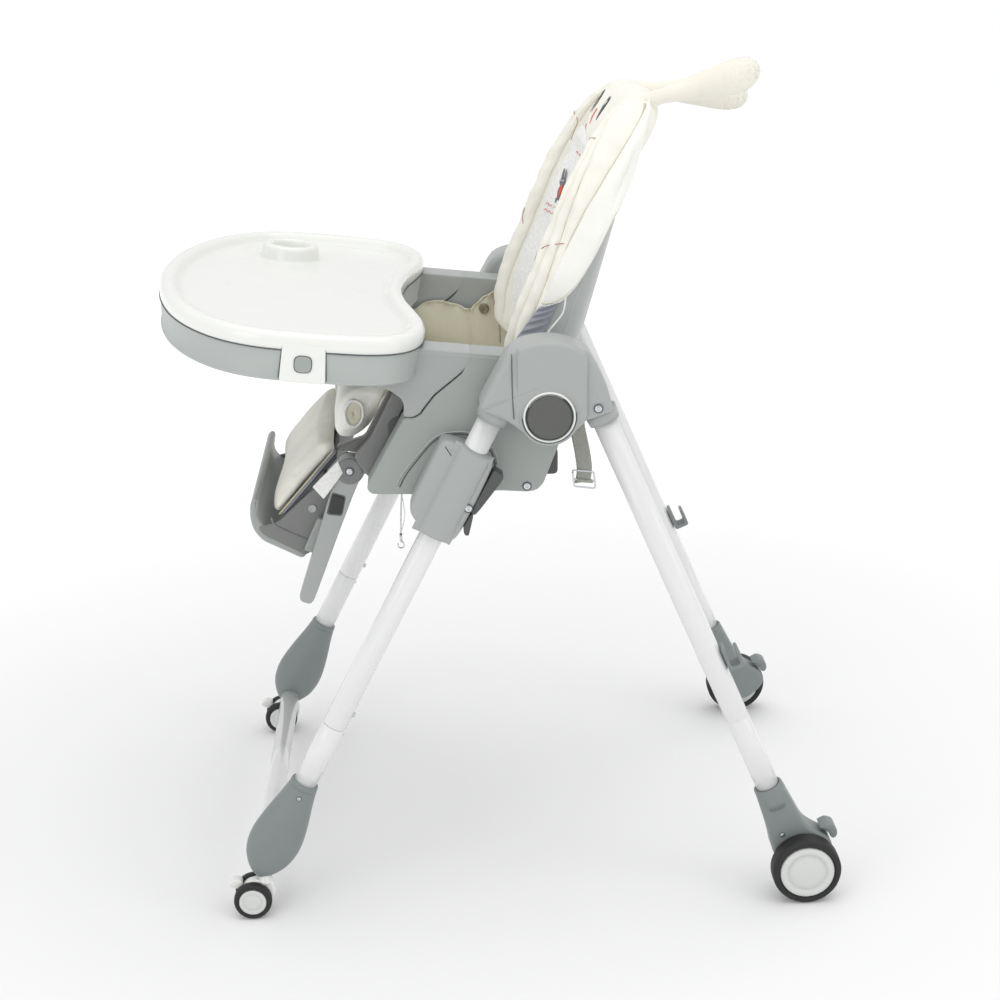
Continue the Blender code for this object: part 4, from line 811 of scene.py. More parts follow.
def tray_top():
    """A soft rim round a flat floor: the section rises in a quarter round, rolls over and slides down to the floor."""
    rim = [(0.0042, -0.0200), (0.0014, -0.0200), (0.0006, -0.0190), (0.0002, -0.0150), (0.0000, -0.0120),
           (0.0004, -0.0085), (0.0014, -0.0055), (0.0030, -0.0030), (0.0052, -0.0012), (0.0080, -0.0002),
           (0.0112, 0.0002), (0.0144, -0.0003), (0.0172, -0.0018), (0.0196, -0.0042), (0.0216, -0.0072),
           (0.0238, -0.0100), (0.0266, -0.0120), (0.0300, -0.0129), (0.0340, -0.0130)]
    rows = tray_rows(rim)
    last = shrunk(TRAY_RING, 0.0340)
    for share in (0.97, 0.9, 0.8, 0.65, 0.5, 0.35, 0.2, 0.08, 0.005):
        flat = last * share + np.array([0, -0.005]) * (1 - share)
        rows.append(tray_at(flat[:, 0], flat[:, 1], -0.0130))
    put(skin("tray top", rows, WHITE), "tray_top", "tray_top", material="white_plastic")
    cup = [(-0.0150, 0.0425), (-0.0134, 0.0425), (-0.0128, 0.0414), (-0.0110, 0.0404), (-0.0060, 0.0396),
           (0.0000, 0.0386), (0.0034, 0.0374), (0.0054, 0.0354), (0.0060, 0.0328), (0.0060, 0.0292),
           (0.0052, 0.0266), (0.0032, 0.0250), (-0.0010, 0.0243), (-0.0110, 0.0238), (-0.0124, 0.0230),
           (-0.0127, 0.0210), (-0.0127, 0.0001)]
    put(spin("cup ring", tray_at(-0.1825, -0.016, 0), (0, math.sin(RISE), math.cos(RISE)), cup, WHITE, 120),
         "tray_top")


def tray_base():
    """A plain band under the rim, in at the bottom, with a thin bead along its lower edge and a soft web under the floor."""
    wall = [(0.0016, -0.0204), (0.0020, -0.0230), (0.0050, -0.0540), (0.0038, -0.0552), (0.0036, -0.0572),
            (0.0050, -0.0582), (0.0082, -0.0580), (0.0084, -0.0540), (0.0058, -0.0230), (0.0300, -0.0230),
            (0.1200, -0.0230), (0.1205, -0.0222), (0.0300, -0.0204)]
    put(skin("tray base", tray_rows(wall[:9] + [(0.0120, -0.0232), (0.0120, -0.0206)]), PALE, closed=True),
         "tray", "tray_base", material="grey_plastic")
    flat = shrunk(TRAY_RING, 0.0100)
    under = [tray_at(flat[:, 0] * k, flat[:, 1] * k - 0.005 * (1 - k), w) for k,
             w in ((0.005, -0.0232), (0.3, -0.0232), (0.6, -0.0232), (0.9, -0.0232), (1, -0.0232),
                   (1, -0.0208), (0.6, -0.0208), (0.005, -0.0208))]
    put(skin("tray underside", under, GREY), "tray")
    bead = shrunk(TRAY_RING, 0.0006)
    line = tray_at(bead[:, 0], bead[:, 1], -0.0203)
    put(sweep("tray joint line", np.vstack([line, line[:1]]), 0.0007, SEAM, 8), "tray")
    shape = [(0.0230, 0.0345, 0.0270, 0.0), (0.0300, 0.0340, 0.0262, 0.0), (0.060, 0.0312, 0.0238, -0.001),
             (0.110, 0.0268, 0.0200, -0.002), (0.140, 0.0246, 0.0184, -0.003),
             (0.1488, 0.0225, 0.0165, -0.003), (0.1520, 0.0180, 0.0125, -0.003),
             (0.1522, 0.0004, 0.0003, -0.003)]
    run = smooth_run(shape, 60)
    turn = np.linspace(0, TAU, 64, endpoint=False)
    squ = lambda v: np.sign(v) * np.abs(v) ** 0.75
    rows = [tray_at(w * squ(np.cos(turn)), 0.083 + shift + d * squ(np.sin(turn)), -drop) for drop, w, d,
            shift in run]
    put(skin("crotch post", rows, PALE), "tray", "crotch_post", material="light_grey_plastic")


def wall_x(side, y, w, lift=0.0):
    """Where the tray's outer wall stands at a height and a place along its side."""
    half = TRAY_RING[TRAY_RING[:, 0] > 0.2]
    order = np.argsort(half[:, 1])
    x = np.interp(y, half[order, 1], half[order, 0])
    drop = np.clip((-0.0200 - np.asarray(w)) / 0.034, 0, 1)
    return side * (x - 0.0012 - 0.0030 * drop + lift)


def tray_side(side, tag):
    """The white tab that hangs from the rim, its grey push button and the dark gap round both."""
    def patch(name, low, high, top, bottom, corner, lift, mat, body, thick, *nodes, flare=0.0):
        """A panel over the wall: an outline in (along, height), carried outwards, its edge rounded."""
        ring = even(rounded([(low, top), (high, top), (high + flare, bottom), (low - flare, bottom)], corner),
                     120)
        rows = []
        for inset, out in ((0.0, -thick), (0.0, -0.0006), (0.0003, -0.0002), (0.0010, 0.0)):
            flat = shrunk(ring, inset)
            rows.append(tray_at(wall_x(side, flat[:, 0], flat[:, 1], lift + out), flat[:, 0], flat[:, 1]))
        middle = ring.mean(0)
        flat = shrunk(ring, 0.0010)
        for share in (0.8, 0.5, 0.2, 0.01):
            inner = middle + share * (flat - middle)
            rows.append(tray_at(wall_x(side, inner[:, 0], inner[:, 1], lift), inner[:, 0], inner[:, 1]))
        return put(skin(name + tag, rows, mat), body, *nodes, material="grey_plastic" if nodes else None)

    patch("tab gap ", 0.0042, 0.0558, -0.0150, -0.0572, (0.003, 0.003, 0.005, 0.005), 0.0009, SEAM,
          "tray_top", 0.003, flare=0.0030)
    patch("white tab ", 0.0052, 0.0548, -0.0120, -0.0584, (0.003, 0.003, 0.004, 0.004), 0.0020, WHITE,
           "tray_top", 0.004, flare=0.0022)
    patch("button gap ", 0.0192, 0.0408, -0.0245, -0.0462, 0.0085, 0.0023, SEAM, "tray_top", 0.003)
    patch("tray button ", 0.0203, 0.0397, -0.0256, -0.0451, 0.0078, 0.0036, GREY, "tray_button_" + tag, 0.004,
           "tray_button_" + tag)
    ring = even(rounded([(0.0186, -0.0238), (0.0414, -0.0238), (0.0414, -0.0468), (0.0186, -0.0468)], 0.0088),
                 120)
    ring = np.vstack([ring, ring[:1]])
    outline = tray_at(wall_x(side, ring[:, 0], ring[:, 1], 0.0020), ring[:, 0], ring[:, 1])
    put(sweep("button outline " + tag, outline, 0.0008, WHITE, 8), "tray_top")


# ---------------------------------------------------------------- build the hard parts
for side, tag in ((1, "left"), (-1, "right")):
    legs(side, tag)
    casters(side, tag)
    rear_wheels(side, tag)
    hubs(side, tag)
    sliders(side, tag)
    sides(side, tag)
    legrest_side(side, tag)
    tray_side(side, tag)
cross = [(-0.2490, 0.0001), (-0.2490, 0.0135), (0.2490, 0.0135), (0.2490, 0.0001)]
put(spin("front cross tube", (0, -0.3110, 0.0640), (1, 0, 0), cross, TUBE, 72), "front_frame",
     "front_cross_tube", material="white_paint")
foot_rest()
tray_top()
tray_base()


# ---------------------------------------------------------------- padded pieces
def puffed(piece, voxel, cap, pressure=4.0):
    """Swells a closed pad as pressed cloth, moves no point further than the cap, and smooths it once."""
    shrink = piece.modifiers.new("even mesh", "REMESH")
    shrink.mode = "VOXEL"
    shrink.voxel_size = voxel
    graph = bpy.context.evaluated_depsgraph_get()
    mesh = bpy.data.meshes.new_from_object(piece.evaluated_get(graph))
    piece.modifiers.remove(shrink)
    piece.data = mesh
    start = np.zeros(len(mesh.vertices) * 3)
    mesh.vertices.foreach_get("co", start)
    start = start.reshape(-1, 3)
    cloth = piece.modifiers.new("swell", "CLOTH")
    cloth.settings.quality = 5
    cloth.settings.mass = 0.3
    cloth.settings.tension_stiffness = 15
    cloth.settings.compression_stiffness = 15
    cloth.settings.bending_stiffness = 0.5
    cloth.settings.use_pressure = True
    cloth.settings.uniform_pressure_force = pressure
    cloth.settings.effector_weights.gravity = 0
    cloth.collision_settings.use_collision = False
    cloth.collision_settings.use_self_collision = False
    cloth.point_cache.frame_start = 1
    cloth.point_cache.frame_end = 20
    for step in range(1, 21):
        bpy.context.scene.frame_set(step)
    graph = bpy.context.evaluated_depsgraph_get()
    swollen = np.zeros(len(mesh.vertices) * 3)
    piece.evaluated_get(graph).data.vertices.foreach_get("co", swollen)
    swollen = swollen.reshape(-1, 3)
    piece.modifiers.remove(cloth)
    bpy.context.scene.frame_set(1)
    move = swollen - start
    far = np.linalg.norm(move, axis=1, keepdims=True)
    move *= np.minimum(1, cap / np.maximum(far, 1e-9))
    mesh.vertices.foreach_set("co", (start + move).ravel())
    mesh.update()
    mesh.shade_smooth()
    finer = piece.modifiers.new("finer", "SUBSURF")
    finer.levels = finer.render_levels = 1
    return piece


def pressed(piece, curves, depth, width):
    """Sinks a pad's surface along seam curves, each a run of points, by a bell-shaped groove."""
    mesh = piece.data
    co = np.zeros(len(mesh.vertices) * 3)
    normal = np.zeros(len(mesh.vertices) * 3)
    mesh.vertices.foreach_get("co", co)
    mesh.vertices.foreach_get("normal", normal)
    co, normal = co.reshape(-1, 3), normal.reshape(-1, 3)
    deep = np.zeros(len(co))
    for curve in curves:
        curve = np.array(curve)
        for block in range(0, len(co), 4000):
            near = np.linalg.norm(co[block:block + 4000, None] - curve[None], axis=2).min(1)
            deep[block:block + 4000] = np.maximum(deep[block:block + 4000], np.exp(-(near / width) ** 2))
    mesh.vertices.foreach_set("co", (co - normal * (depth * deep)[:, None]).ravel())
    mesh.update()
    return piece


def pad_block(name, outline, half, finish, crown=0.0, count=140, cells=56, soften=0.012, edge=0.010):
    """A cushion: a (y, z) outline carried across, rounded at its ends, its faces crowned between the ends."""
    ring = even(rounded(outline, soften), count)
    u = np.linspace(-1, 1, cells)
    shrink = edge * (1 - np.sqrt(np.clip(1 - np.clip((np.abs(u) * half - half + edge) / edge, 0, 1) ** 2, 0,
                                         1)))
    lift = crown * np.clip(1 - np.abs(u) ** 3, 0, 1)
    rows = [np.column_stack([np.full(count, k * half), shrunk(ring, s - c)]) for k, s,
            c in zip(u, shrink, lift)]
    return skin(name, rows, finish)


# ---------------------------------------------------------------- back
def back_at(x, up, out):
    """Up the back from its bottom and out from its rear face; works on arrays."""
    x, up, out = np.broadcast_arrays(np.asarray(x, float), np.asarray(up, float), np.asarray(out, float))
    s, c = math.sin(BACK_LEAN), math.cos(BACK_LEAN)
    return np.stack([x, 0.0905 + up * s - out * c, 0.6300 + up * c + out * s], -1)


STATIONS = np.array([(-0.010, 0.1640, 0.0620), (0.000, 0.1660, 0.0640), (0.060, 0.1800, 0.0760),
                     (0.120, 0.1830, 0.0720), (0.190, 0.1800, 0.0610), (0.250, 0.1720, 0.0500),
                     (0.300, 0.1580, 0.0390), (0.345, 0.1340, 0.0300), (0.375, 0.1080, 0.0270),
                     (0.392, 0.0800, 0.0240)])


def eased(up, column):
    """A station value at a height, along a smooth curve."""
    fine = smooth_run(STATIONS, 200)
    return np.interp(up, fine[:, 0], fine[:, column])


def hollow_at(s, up, off, lip=0.0, power=4.0):
    """A point of the U-shaped back: s from -1 at the right wing's edge to 1 at the left, off inwards from the shell's outside, lip further forwards."""
    s, up, off, lip = np.broadcast_arrays(*[np.asarray(v, float) for v in (s, up, off, lip)])
    half, deep = eased(up, 1) - off, eased(up, 2) + lip
    turn = np.abs(s) * (math.pi / 2)
    wide = np.sin(turn) ** (2 / power)
    rise = 1 - np.clip(np.cos(turn), 0, 1) ** (2 / power)
    # An even spread along the section instead of along the angle.
    return back_at(np.sign(s) * half * wide, up, off + (deep - off) * rise)


def section_steps(count, power=4.0):
    """Values of s that are evenly spaced along the U-shaped section."""
    t = np.linspace(-1, 1, 2001)
    run = hollow_at(t, 0.15, 0.01, 0, power)
    length = np.concatenate([[0], np.cumsum(np.linalg.norm(np.diff(run, axis=0), axis=1))])
    return np.interp(np.linspace(0, length[-1], count), length, t)


def shell():
    """The back's plain shell, two skins joined at the rim."""
    s = section_steps(150)
    rows = []
    for up in np.concatenate([[0.0005, 0.002], np.linspace(0.006, 0.360, 60), [0.366, 0.370, 0.373]]):
        trim = 0.0025 * (up < 0.001)
        outer = hollow_at(s, up, trim, -0.004)
        inner = hollow_at(s[::-1], up, 0.0050 - trim, -0.004)
        rows.append(np.vstack([outer, inner]))
    put(skin("back shell", rows, LIGHT), "back", "back_shell", material="light_grey_plastic")
    # Pale lines down both wings of the shell are painted highlights on its ridges.
    for side in (1, -1):
        line = [hollow_at(side * 0.80, up, -0.0004) for up in np.linspace(0.03, 0.24, 30)]
        seam_line("back shell rib %d" % side, line, "back", 0.0010, PALE)
    handle = [(-0.050, 0.306), (0.050, 0.306), (0.050, 0.328), (-0.050, 0.328)]
    ring = even(rounded(handle, 0.006), 100)
    rows = [back_at(*(shrunk(ring, inset).T), out) for inset,
            out in ((0.0, -0.0005), (0.0, -0.0060), (0.0010, -0.0080), (0.0030, -0.0092))]
    rows += [back_at(*((ring.mean(0) + k * (shrunk(ring, 0.003) - ring.mean(0))).T), -0.0096) for k in (0.8,
                                                                                                         0.4,
                                                                                                         0.02)]
    put(skin("recline handle", rows, BLACK_GREY), "recline_handle", "recline_handle", material="dark_plastic")


def wing_front(up):
    """How far forwards the padded wings stand at a height."""
    return np.interp(up, [0.0, 0.045, 0.065, 0.095, 0.133, 0.160, 0.190, 0.235, 0.280, 0.320, 0.345, 0.370,
                           0.390], [0.080, 0.088, 0.092, 0.093, 0.088, 0.084, 0.081, 0.076, 0.068, 0.056,
                                     0.047, 0.034, 0.026])


def welt_out(up):
    """How far forwards the welt between the front and the rear pocket stands."""
    return np.interp(up, [0.0, 0.06, 0.12, 0.19, 0.25, 0.30, 0.345, 0.375, 0.39],
                     [0.074, 0.082, 0.070, 0.060, 0.047, 0.031, 0.014, 0.003, -0.002])


WING_SEAMS = (0.520, 0.640, 0.745, 0.850)


def cover():
    """The padded cover.  Each section runs from the hollow up the wing's inner face, over its front and back to the welt; between the sewn channels the surface swells along its normal."""
    up = np.concatenate([np.linspace(0.012, 0.030, 8), np.linspace(0.036, 0.366, 140),
                         np.linspace(0.3685, 0.3820, 10)])
    half, deep, far = eased(up, 1), welt_out(up) - 0.003, wing_front(up)
    floor = 0.0300 - 0.006 * np.clip((up - 0.33) / 0.05, 0, 1)
    far = np.maximum(far, floor + 0.004)
    rise = far - floor
    knots = [(0 * half, floor), (0.30 * half, floor), (0.52 * half, floor + 0.02 * rise),
             (0.655 * half, floor + 0.22 * rise), (0.725 * half, floor + 0.62 * rise),
             (0.785 * half, floor + 0.93 * rise), (0.855 * half, far), (0.920 * half, far - 0.14 * rise),
             (0.970 * half, far - 0.38 * rise), (half, np.minimum(deep + 0.003, far - 0.45 * rise))]
    pts = np.stack([np.stack(k, -1) for k in knots], 0)
    t = np.linspace(0, 1, 190)
    at = t * (len(knots) - 1 - 1e-9)
    i = at.astype(int)
    f = (at - i)[:, None, None]
    ext = np.concatenate([2 * pts[:1] - pts[1:2], pts, 2 * pts[-1:] - pts[-2:-1]])
    p0, p1, p2, p3 = ext[i], ext[i + 1], ext[i + 2], ext[i + 3]
    line = 0.5 * (2 * p1 + (p2 - p0) * f + (2 * p0 - 5 * p1 + 4 * p2 - p3) * f ** 2 + (3 * p1 - p0 - 3 * p2 + p3) * f ** 3)
    way = np.gradient(line, axis=0)
    way /= np.linalg.norm(way, axis=2, keepdims=True) + 1e-12
    normal = np.stack([-way[..., 1], way[..., 0]], -1)
    drift = 0.030 * np.clip((up - 0.05) / 0.30, 0, 1)
    a = np.clip(t[:, None] + drift[None] * np.clip(t[:, None] / 0.5, 0, 1) * np.clip((1 - t[:, None]) / 0.12,
                                                                                      0, 1), 0, 1)
    marks = np.array([0.0, *WING_SEAMS, 1.0])
    place = np.searchsorted(marks, a, side="right").clip(1, len(marks) - 1)
    share = (a - marks[place - 1]) / (marks[place] - marks[place - 1])
    bump_up = np.sqrt(np.clip(4 * share * (1 - share), 0, 1))
    height = np.where(place == 1, 0.0, 0.0058) * bump_up * np.clip((0.384 - up) / 0.03, 0,
                                                                   1) ** 0.5 * np.clip((up - 0.010) / 0.03, 0,
                                                                                        1) ** 0.5
    height += (0.0007 * np.sin(up * 95 + 5 * np.sin(8 * t[:, None])) + 0.0005 * np.sin(up * 210 + 13 * t[:,
                                                                                                          None])) * bump_up
    line = line + normal * height[..., None]
    back_t = np.linspace(0, 1, 90)[:, None]
    turn = (1 - back_t) * (math.pi / 2)
    low = np.minimum(0.0055, line[-1, :, 1] - 0.002)
    rear = np.stack([(half - 0.0055) * np.sin(turn) ** (2 / 3.8),
                     low + (line[-1, :, 1] - low) * (1 - np.clip(np.cos(turn), 0, 1) ** (2 / 3.8))], -1)
    closing = np.clip((0.3835 - up) / 0.022, 0, 1) ** 0.5 * np.clip((up - 0.008) / 0.016, 0, 1) ** 0.5
    middle = 0.5 * (line[:, :, 1] + 0.012)
    line[:, :, 1] = middle + (line[:, :, 1] - middle) * (0.2 + 0.8 * closing)
    ring = np.concatenate([line, rear[1:]], 0)
    left = back_at(ring[..., 0], up[None], ring[..., 1])
    right = left[::-1][1:-1] * np.array([-1, 1, 1])
    rows = np.concatenate([left, right], 0).swapaxes(0, 1)
    made = put(skin("back cover", rows, CREAM), "back", "back_cushion", material="cream_cloth")
    for side in (1, -1):
        for k, seam in enumerate(WING_SEAMS):
            keep = (up > 0.030) & (up < 0.366)
            col = np.abs(a - seam).argmin(0)
            run = line[col, np.arange(len(up))][keep]
            thread = back_at(side * run[:, 0], up[keep], run[:, 1] + 0.0002)
            put(sweep("wing seam %d %d" % (side, k), smooth_run(thread[::4], 160), 0.0006,
                      PIPING if k == 3 else THREADS, 6), "back")
        keep = up > 0.066
        welt = back_at(side * (line[-1, keep, 0] + 0.0004), up[keep], line[-1, keep, 1])
        put(sweep("wing piping %d" % side, smooth_run(welt[::4], 200), 0.0013, PIPING, 10), "back")
        keep = up < 0.072
        welt = back_at(side * (line[-1, keep, 0] + 0.0004), up[keep], line[-1, keep, 1])
        put(sweep("wing hem %d" % side, smooth_run(welt, 60), 0.0022, PAD, 10), "back")
        for k, (u0, u1, x0, x1) in enumerate(((0.296, 0.330, 0.080, 0.128), (0.150, 0.205, 0.138, 0.178),
                                              (0.040, 0.060, 0.150, 0.172))):
            w = np.linspace(0, 1, 40)
            x = x0 + (x1 - x0) * w
            u = u0 + (u1 - u0) * w ** 0.55
            front = np.array([np.interp(px, line[95:, np.abs(up - pu).argmin(), 0],
                                        line[95:, np.abs(up - pu).argmin(), 1]) for px, pu in zip(x, u)])
            front = np.polyval(np.polyfit(w, front, 5), w)
            put(sweep("wing stitch arc %d %d" % (side, k), back_at(side * x, u, front + 0.0010), 0.0005,
                       STITCH, 6), "back")


def pocket_low(a):
    """How far down the rear pocket reaches, by distance round the back."""
    return np.interp(a, [0.0, 0.45, 0.62, 0.70, 0.78, 0.86, 0.93, 1.0],
                     [0.262, 0.258, 0.246, 0.222, 0.190, 0.160, 0.140, 0.126])


def pocket():
    """The plain rear panel that the shell's top slips into, with white piping along its lower edge."""
    t = section_steps(220, 3.8)
    a = np.abs(t)
    low = pocket_low(a)
    rows = []
    for k in np.linspace(0, 1, 70):
        up = low + (0.3925 - low) * k
        fold = np.clip(k / 0.02, 0, 1) ** 0.5 * np.clip((1 - k) / 0.05, 0, 1) ** 0.4
        ripple = 0.0009 * np.sin(7 * t + 11 * k) + 0.0006 * np.sin(17 * t - 5 * k)
        puff = 0.0050 * math.sin(math.pi * min(1, k * 1.02)) ** 0.5
        lip = welt_out(up) - eased(up, 2) + 0.0005
        out = hollow_at(t, up, -0.0012 - (0.0016 + puff * (0.4 + 0.6 * (a < 0.8)) + ripple) * fold, lip, 3.8)
        inn = hollow_at(t[::-1], up[::-1], 0.0008, lip[::-1], 3.8)
        rows.append(np.vstack([out, inn]))
    put(skin("rear pocket", rows, PALE_CREAM_AND_PAINTED_LIGHT), "back")
    lip = welt_out(low) - eased(low, 2) + 0.0010
    line = hollow_at(t, low, -0.0018, lip, 3.8)
    put(sweep("pocket piping", line, 0.0016, PAD, 10), "back")
    hem = hollow_at(t, low + 0.0035, -0.0032, lip, 3.8)
    put(sweep("pocket hem", hem, 0.0009, THREADS, 8), "back")


def lining(side):
    """Gathered cloth at the wing's bottom: four corners joined smoothly, with pleats that fade towards the hem."""
    corners = np.array([(0.0560, 0.7680), (0.0800, 0.7735), (0.0540, 0.7230), (0.0215, 0.7215)])
    u, v = np.meshgrid(np.linspace(0, 1, 60), np.linspace(0, 1, 90), indexing="ij")
    flat = ((1 - u) * (1 - v))[..., None] * corners[0] + (u * (1 - v))[..., None] * corners[1] + (u * v)[...,
                                                                                                          None] * corners[2] + ((1 - u) * v)[...,
                                                                                                                                              None] * corners[3]
    pleat = 0.0022 * np.sin(v * 34 + 3.0 * u + 1.5 * np.sin(5 * v)) * np.sin(math.pi * np.clip(u, 0.02,
                                                                                               0.98)) ** 0.5
    bow = 0.003 * np.sin(math.pi * u)
    x = side * (0.1855 + bow + 0.8 * pleat)
    face = np.stack([x, flat[..., 0], flat[..., 1]], -1)
    back_face = face - np.array([side * 0.0012, 0, 0])
    rows = np.concatenate([face, back_face[::-1]], axis=0)
    put(skin("wing lining %d" % side, np.swapaxes(rows, 0, 1), LINING), "back")


def pad_front(x, up):
    """The insert pad's front surface: flat in the middle, turned up against both wings, less near the top."""
    far = wing_front(up)
    return 0.0430 + (far - 0.0410) * np.minimum(np.abs(x) / 0.150,
                                                1) ** 3.6 + 0.0030 * np.cos(np.pi * x / 0.075) * np.clip((0.30 - up) / 0.05,
                                                                                                          0,
                                                                                                         1) * np.clip((0.12 - np.abs(x)) / 0.05,
                                                                                                                       0,
                                                                                                                       1)


def pad_half(up):


    """Half the insert pad's width at a height up the back."""
    return np.interp(up, [0.02, 0.06, 0.15, 0.23, 0.29, 0.318], [0.126, 0.142, 0.150, 0.146, 0.128, 0.106])


def insert_pad():
    """A soft white pad laid in the hollow, its top rolled over."""
    s = np.linspace(-1, 1, 160)
    rows = []
    steps = np.concatenate([np.linspace(0.030, 0.300, 90),
                            0.300 + 0.0155 * np.sin(np.linspace(0.1, math.pi / 2, 16))])
    for up in steps:
        half = pad_half(up) * 1.0
        end = np.clip((0.3160 - up) / 0.014, 0, 1) ** 0.5
        thick = 0.0145 * max(end, 0.12) * np.sqrt(np.clip(1 - np.abs(s) ** 8, 0, 1))
        x = s * half
        soft = 0.0012 * np.sin(up * 60 + 7 * s) + 0.0010 * np.sin(23 * s + 30 * up)
        mid = pad_front(x, up) - 0.0070 + soft * (1 - np.abs(s) ** 6)
        roll = 0.006 * np.clip((up - 0.285) / 0.02, 0, 1)
        front = back_at(x, up, mid + thick / 2 + roll)
        rear = back_at(x[::-1], up, (mid - thick / 2 - 0.3 * roll)[::-1])
        rows.append(np.vstack([front, rear[1:-1]]))
    made = put(skin("insert pad", rows, PAD), "back")
    for side in (1, -1):
        u = np.linspace(0.032, 0.306, 120)
        x = side * pad_half(u)
        put(sweep("insert binding %d" % side, back_at(x * 1.005, u, pad_front(x, u) - 0.0065), 0.0022, PAD,
                  10), "back")
    for k, x0 in enumerate((-0.052, 0.052)):
        u = np.linspace(0.05, 0.27, 90)
        x = x0 * (1 + 0.35 * (u - 0.05) / 0.2)
        put(sweep("insert crease %d" % k, back_at(x, u, pad_front(x, u) + 0.0005), 0.0007, THREADS, 6),
            "back")


def print_on(name, shape, at, size, turn, finish, surface, lift=0.0016):
    """A flat printed motif laid on a surface: its outline is turned, sized and lifted a hair off the cloth."""
    ring = np.array(shape, float)
    c, s = math.cos(turn), math.sin(turn)
    flat = ring @ np.array([[c, s], [-s, c]]) * size + np.array(at)
    middle = flat.mean(0)
    rows = []
    for k, off in ((1.0, -0.0004), (1.0, 0.0), (0.7, 0.0), (0.35, 0.0), (0.02, 0.0)):
        here = middle + k * (flat - middle)
        rows.append(back_at(here[:, 0], here[:, 1], surface(here[:, 0], here[:, 1]) + lift + off))
    return put(skin(name, rows, finish), "back")


def oval(a, b, count=36, pinch=0.0):


    """A flat oval a by b, fuller at its top by pinch."""
    t = np.linspace(0, TAU, count, endpoint=False)
    return np.column_stack([a * np.cos(t) * (1 + pinch * np.sin(t)), b * np.sin(t)])


def head_cap():
    """A soft hood over the back's top: ovals stacked up the back, deep in the middle."""
    turn = np.linspace(0, TAU, 140, endpoint=False)
    c, s = np.cos(turn), np.sin(turn)
    stations = [(0.300, 0.098, 0.022, 0.016), (0.3065, 0.110, 0.020, 0.025), (0.320, 0.1200, 0.017, 0.032),
                (0.340, 0.1215, 0.014, 0.035), (0.358, 0.1150, 0.0105, 0.034), (0.374, 0.1020, 0.008, 0.031),
                 (0.386, 0.0830, 0.008, 0.025), (0.3925, 0.0600, 0.008, 0.016),
                (0.3955, 0.0330, 0.008, 0.008), (0.3962, 0.0040, 0.008, 0.001)]
    rows = []
    for up, half, mid, deep in smooth_run(stations, 70):
        half, deep = max(half, 0.001), max(deep, 0.0005)
        x = half * np.sign(c) * np.abs(c) ** 0.72
        out = mid + deep * np.sign(s) * np.abs(s) ** 0.85
        soft = 0.0008 * np.sin(5 * turn + 60 * up)
        rows.append(back_at(x, up, out + soft))
    made = put(skin("head cap", rows, CREAM), "back")
    return made


def dome(x, up):
    """Where the head cap's front stands."""
    half = np.interp(up, [0.306, 0.320, 0.340, 0.358, 0.374, 0.386],
                     [0.110, 0.1200, 0.1215, 0.1150, 0.1020, 0.0830])
    mid = np.interp(up, [0.306, 0.320, 0.340, 0.358, 0.374, 0.386],
                    [0.020, 0.017, 0.014, 0.0105, 0.008, 0.008])
    deep = np.interp(up, [0.306, 0.320, 0.340, 0.358, 0.374, 0.386],
                     [0.025, 0.032, 0.035, 0.034, 0.031, 0.025])
    c = np.clip(np.abs(x) / half, 0, 0.999) ** (1 / 0.72)
    return mid + deep * np.sqrt(1 - c ** 2) ** 0.85


def face():
    """Two slender eyes, each with a small white glint, and a thin pink line between them."""
    for side in (1, -1):
        print_on("cap eye %d" % side, oval(0.0058, 0.0165, 40, 0.10), (side * 0.038, 0.358), 1.0, side * 0.10,
                  EYE, dome, 0.0014)
        print_on("cap eye glint %d" % side, oval(0.0016, 0.0030), (side * 0.0385, 0.3655), 1.0, 0, PAD, dome,
                  0.0018)
    nose = [(0.0, y) for y in np.linspace(0.352, 0.331, 14)]
    line = back_at(np.array(nose)[:, 0], np.array(nose)[:, 1],
                   dome(np.array(nose)[:, 0], np.array(nose)[:, 1]) + 0.0008)
    put(sweep("cap nose line", line, 0.0012, PINK, 8), "back")
    u = np.linspace(-0.080, 0.080, 60)
    arc = 0.322 - 0.007 * np.cos(u / 0.080 * math.pi / 2)
    put(sweep("cap stitch arc", back_at(u, arc, dome(u, arc) + 0.0003), 0.0005, STITCH, 6), "back")


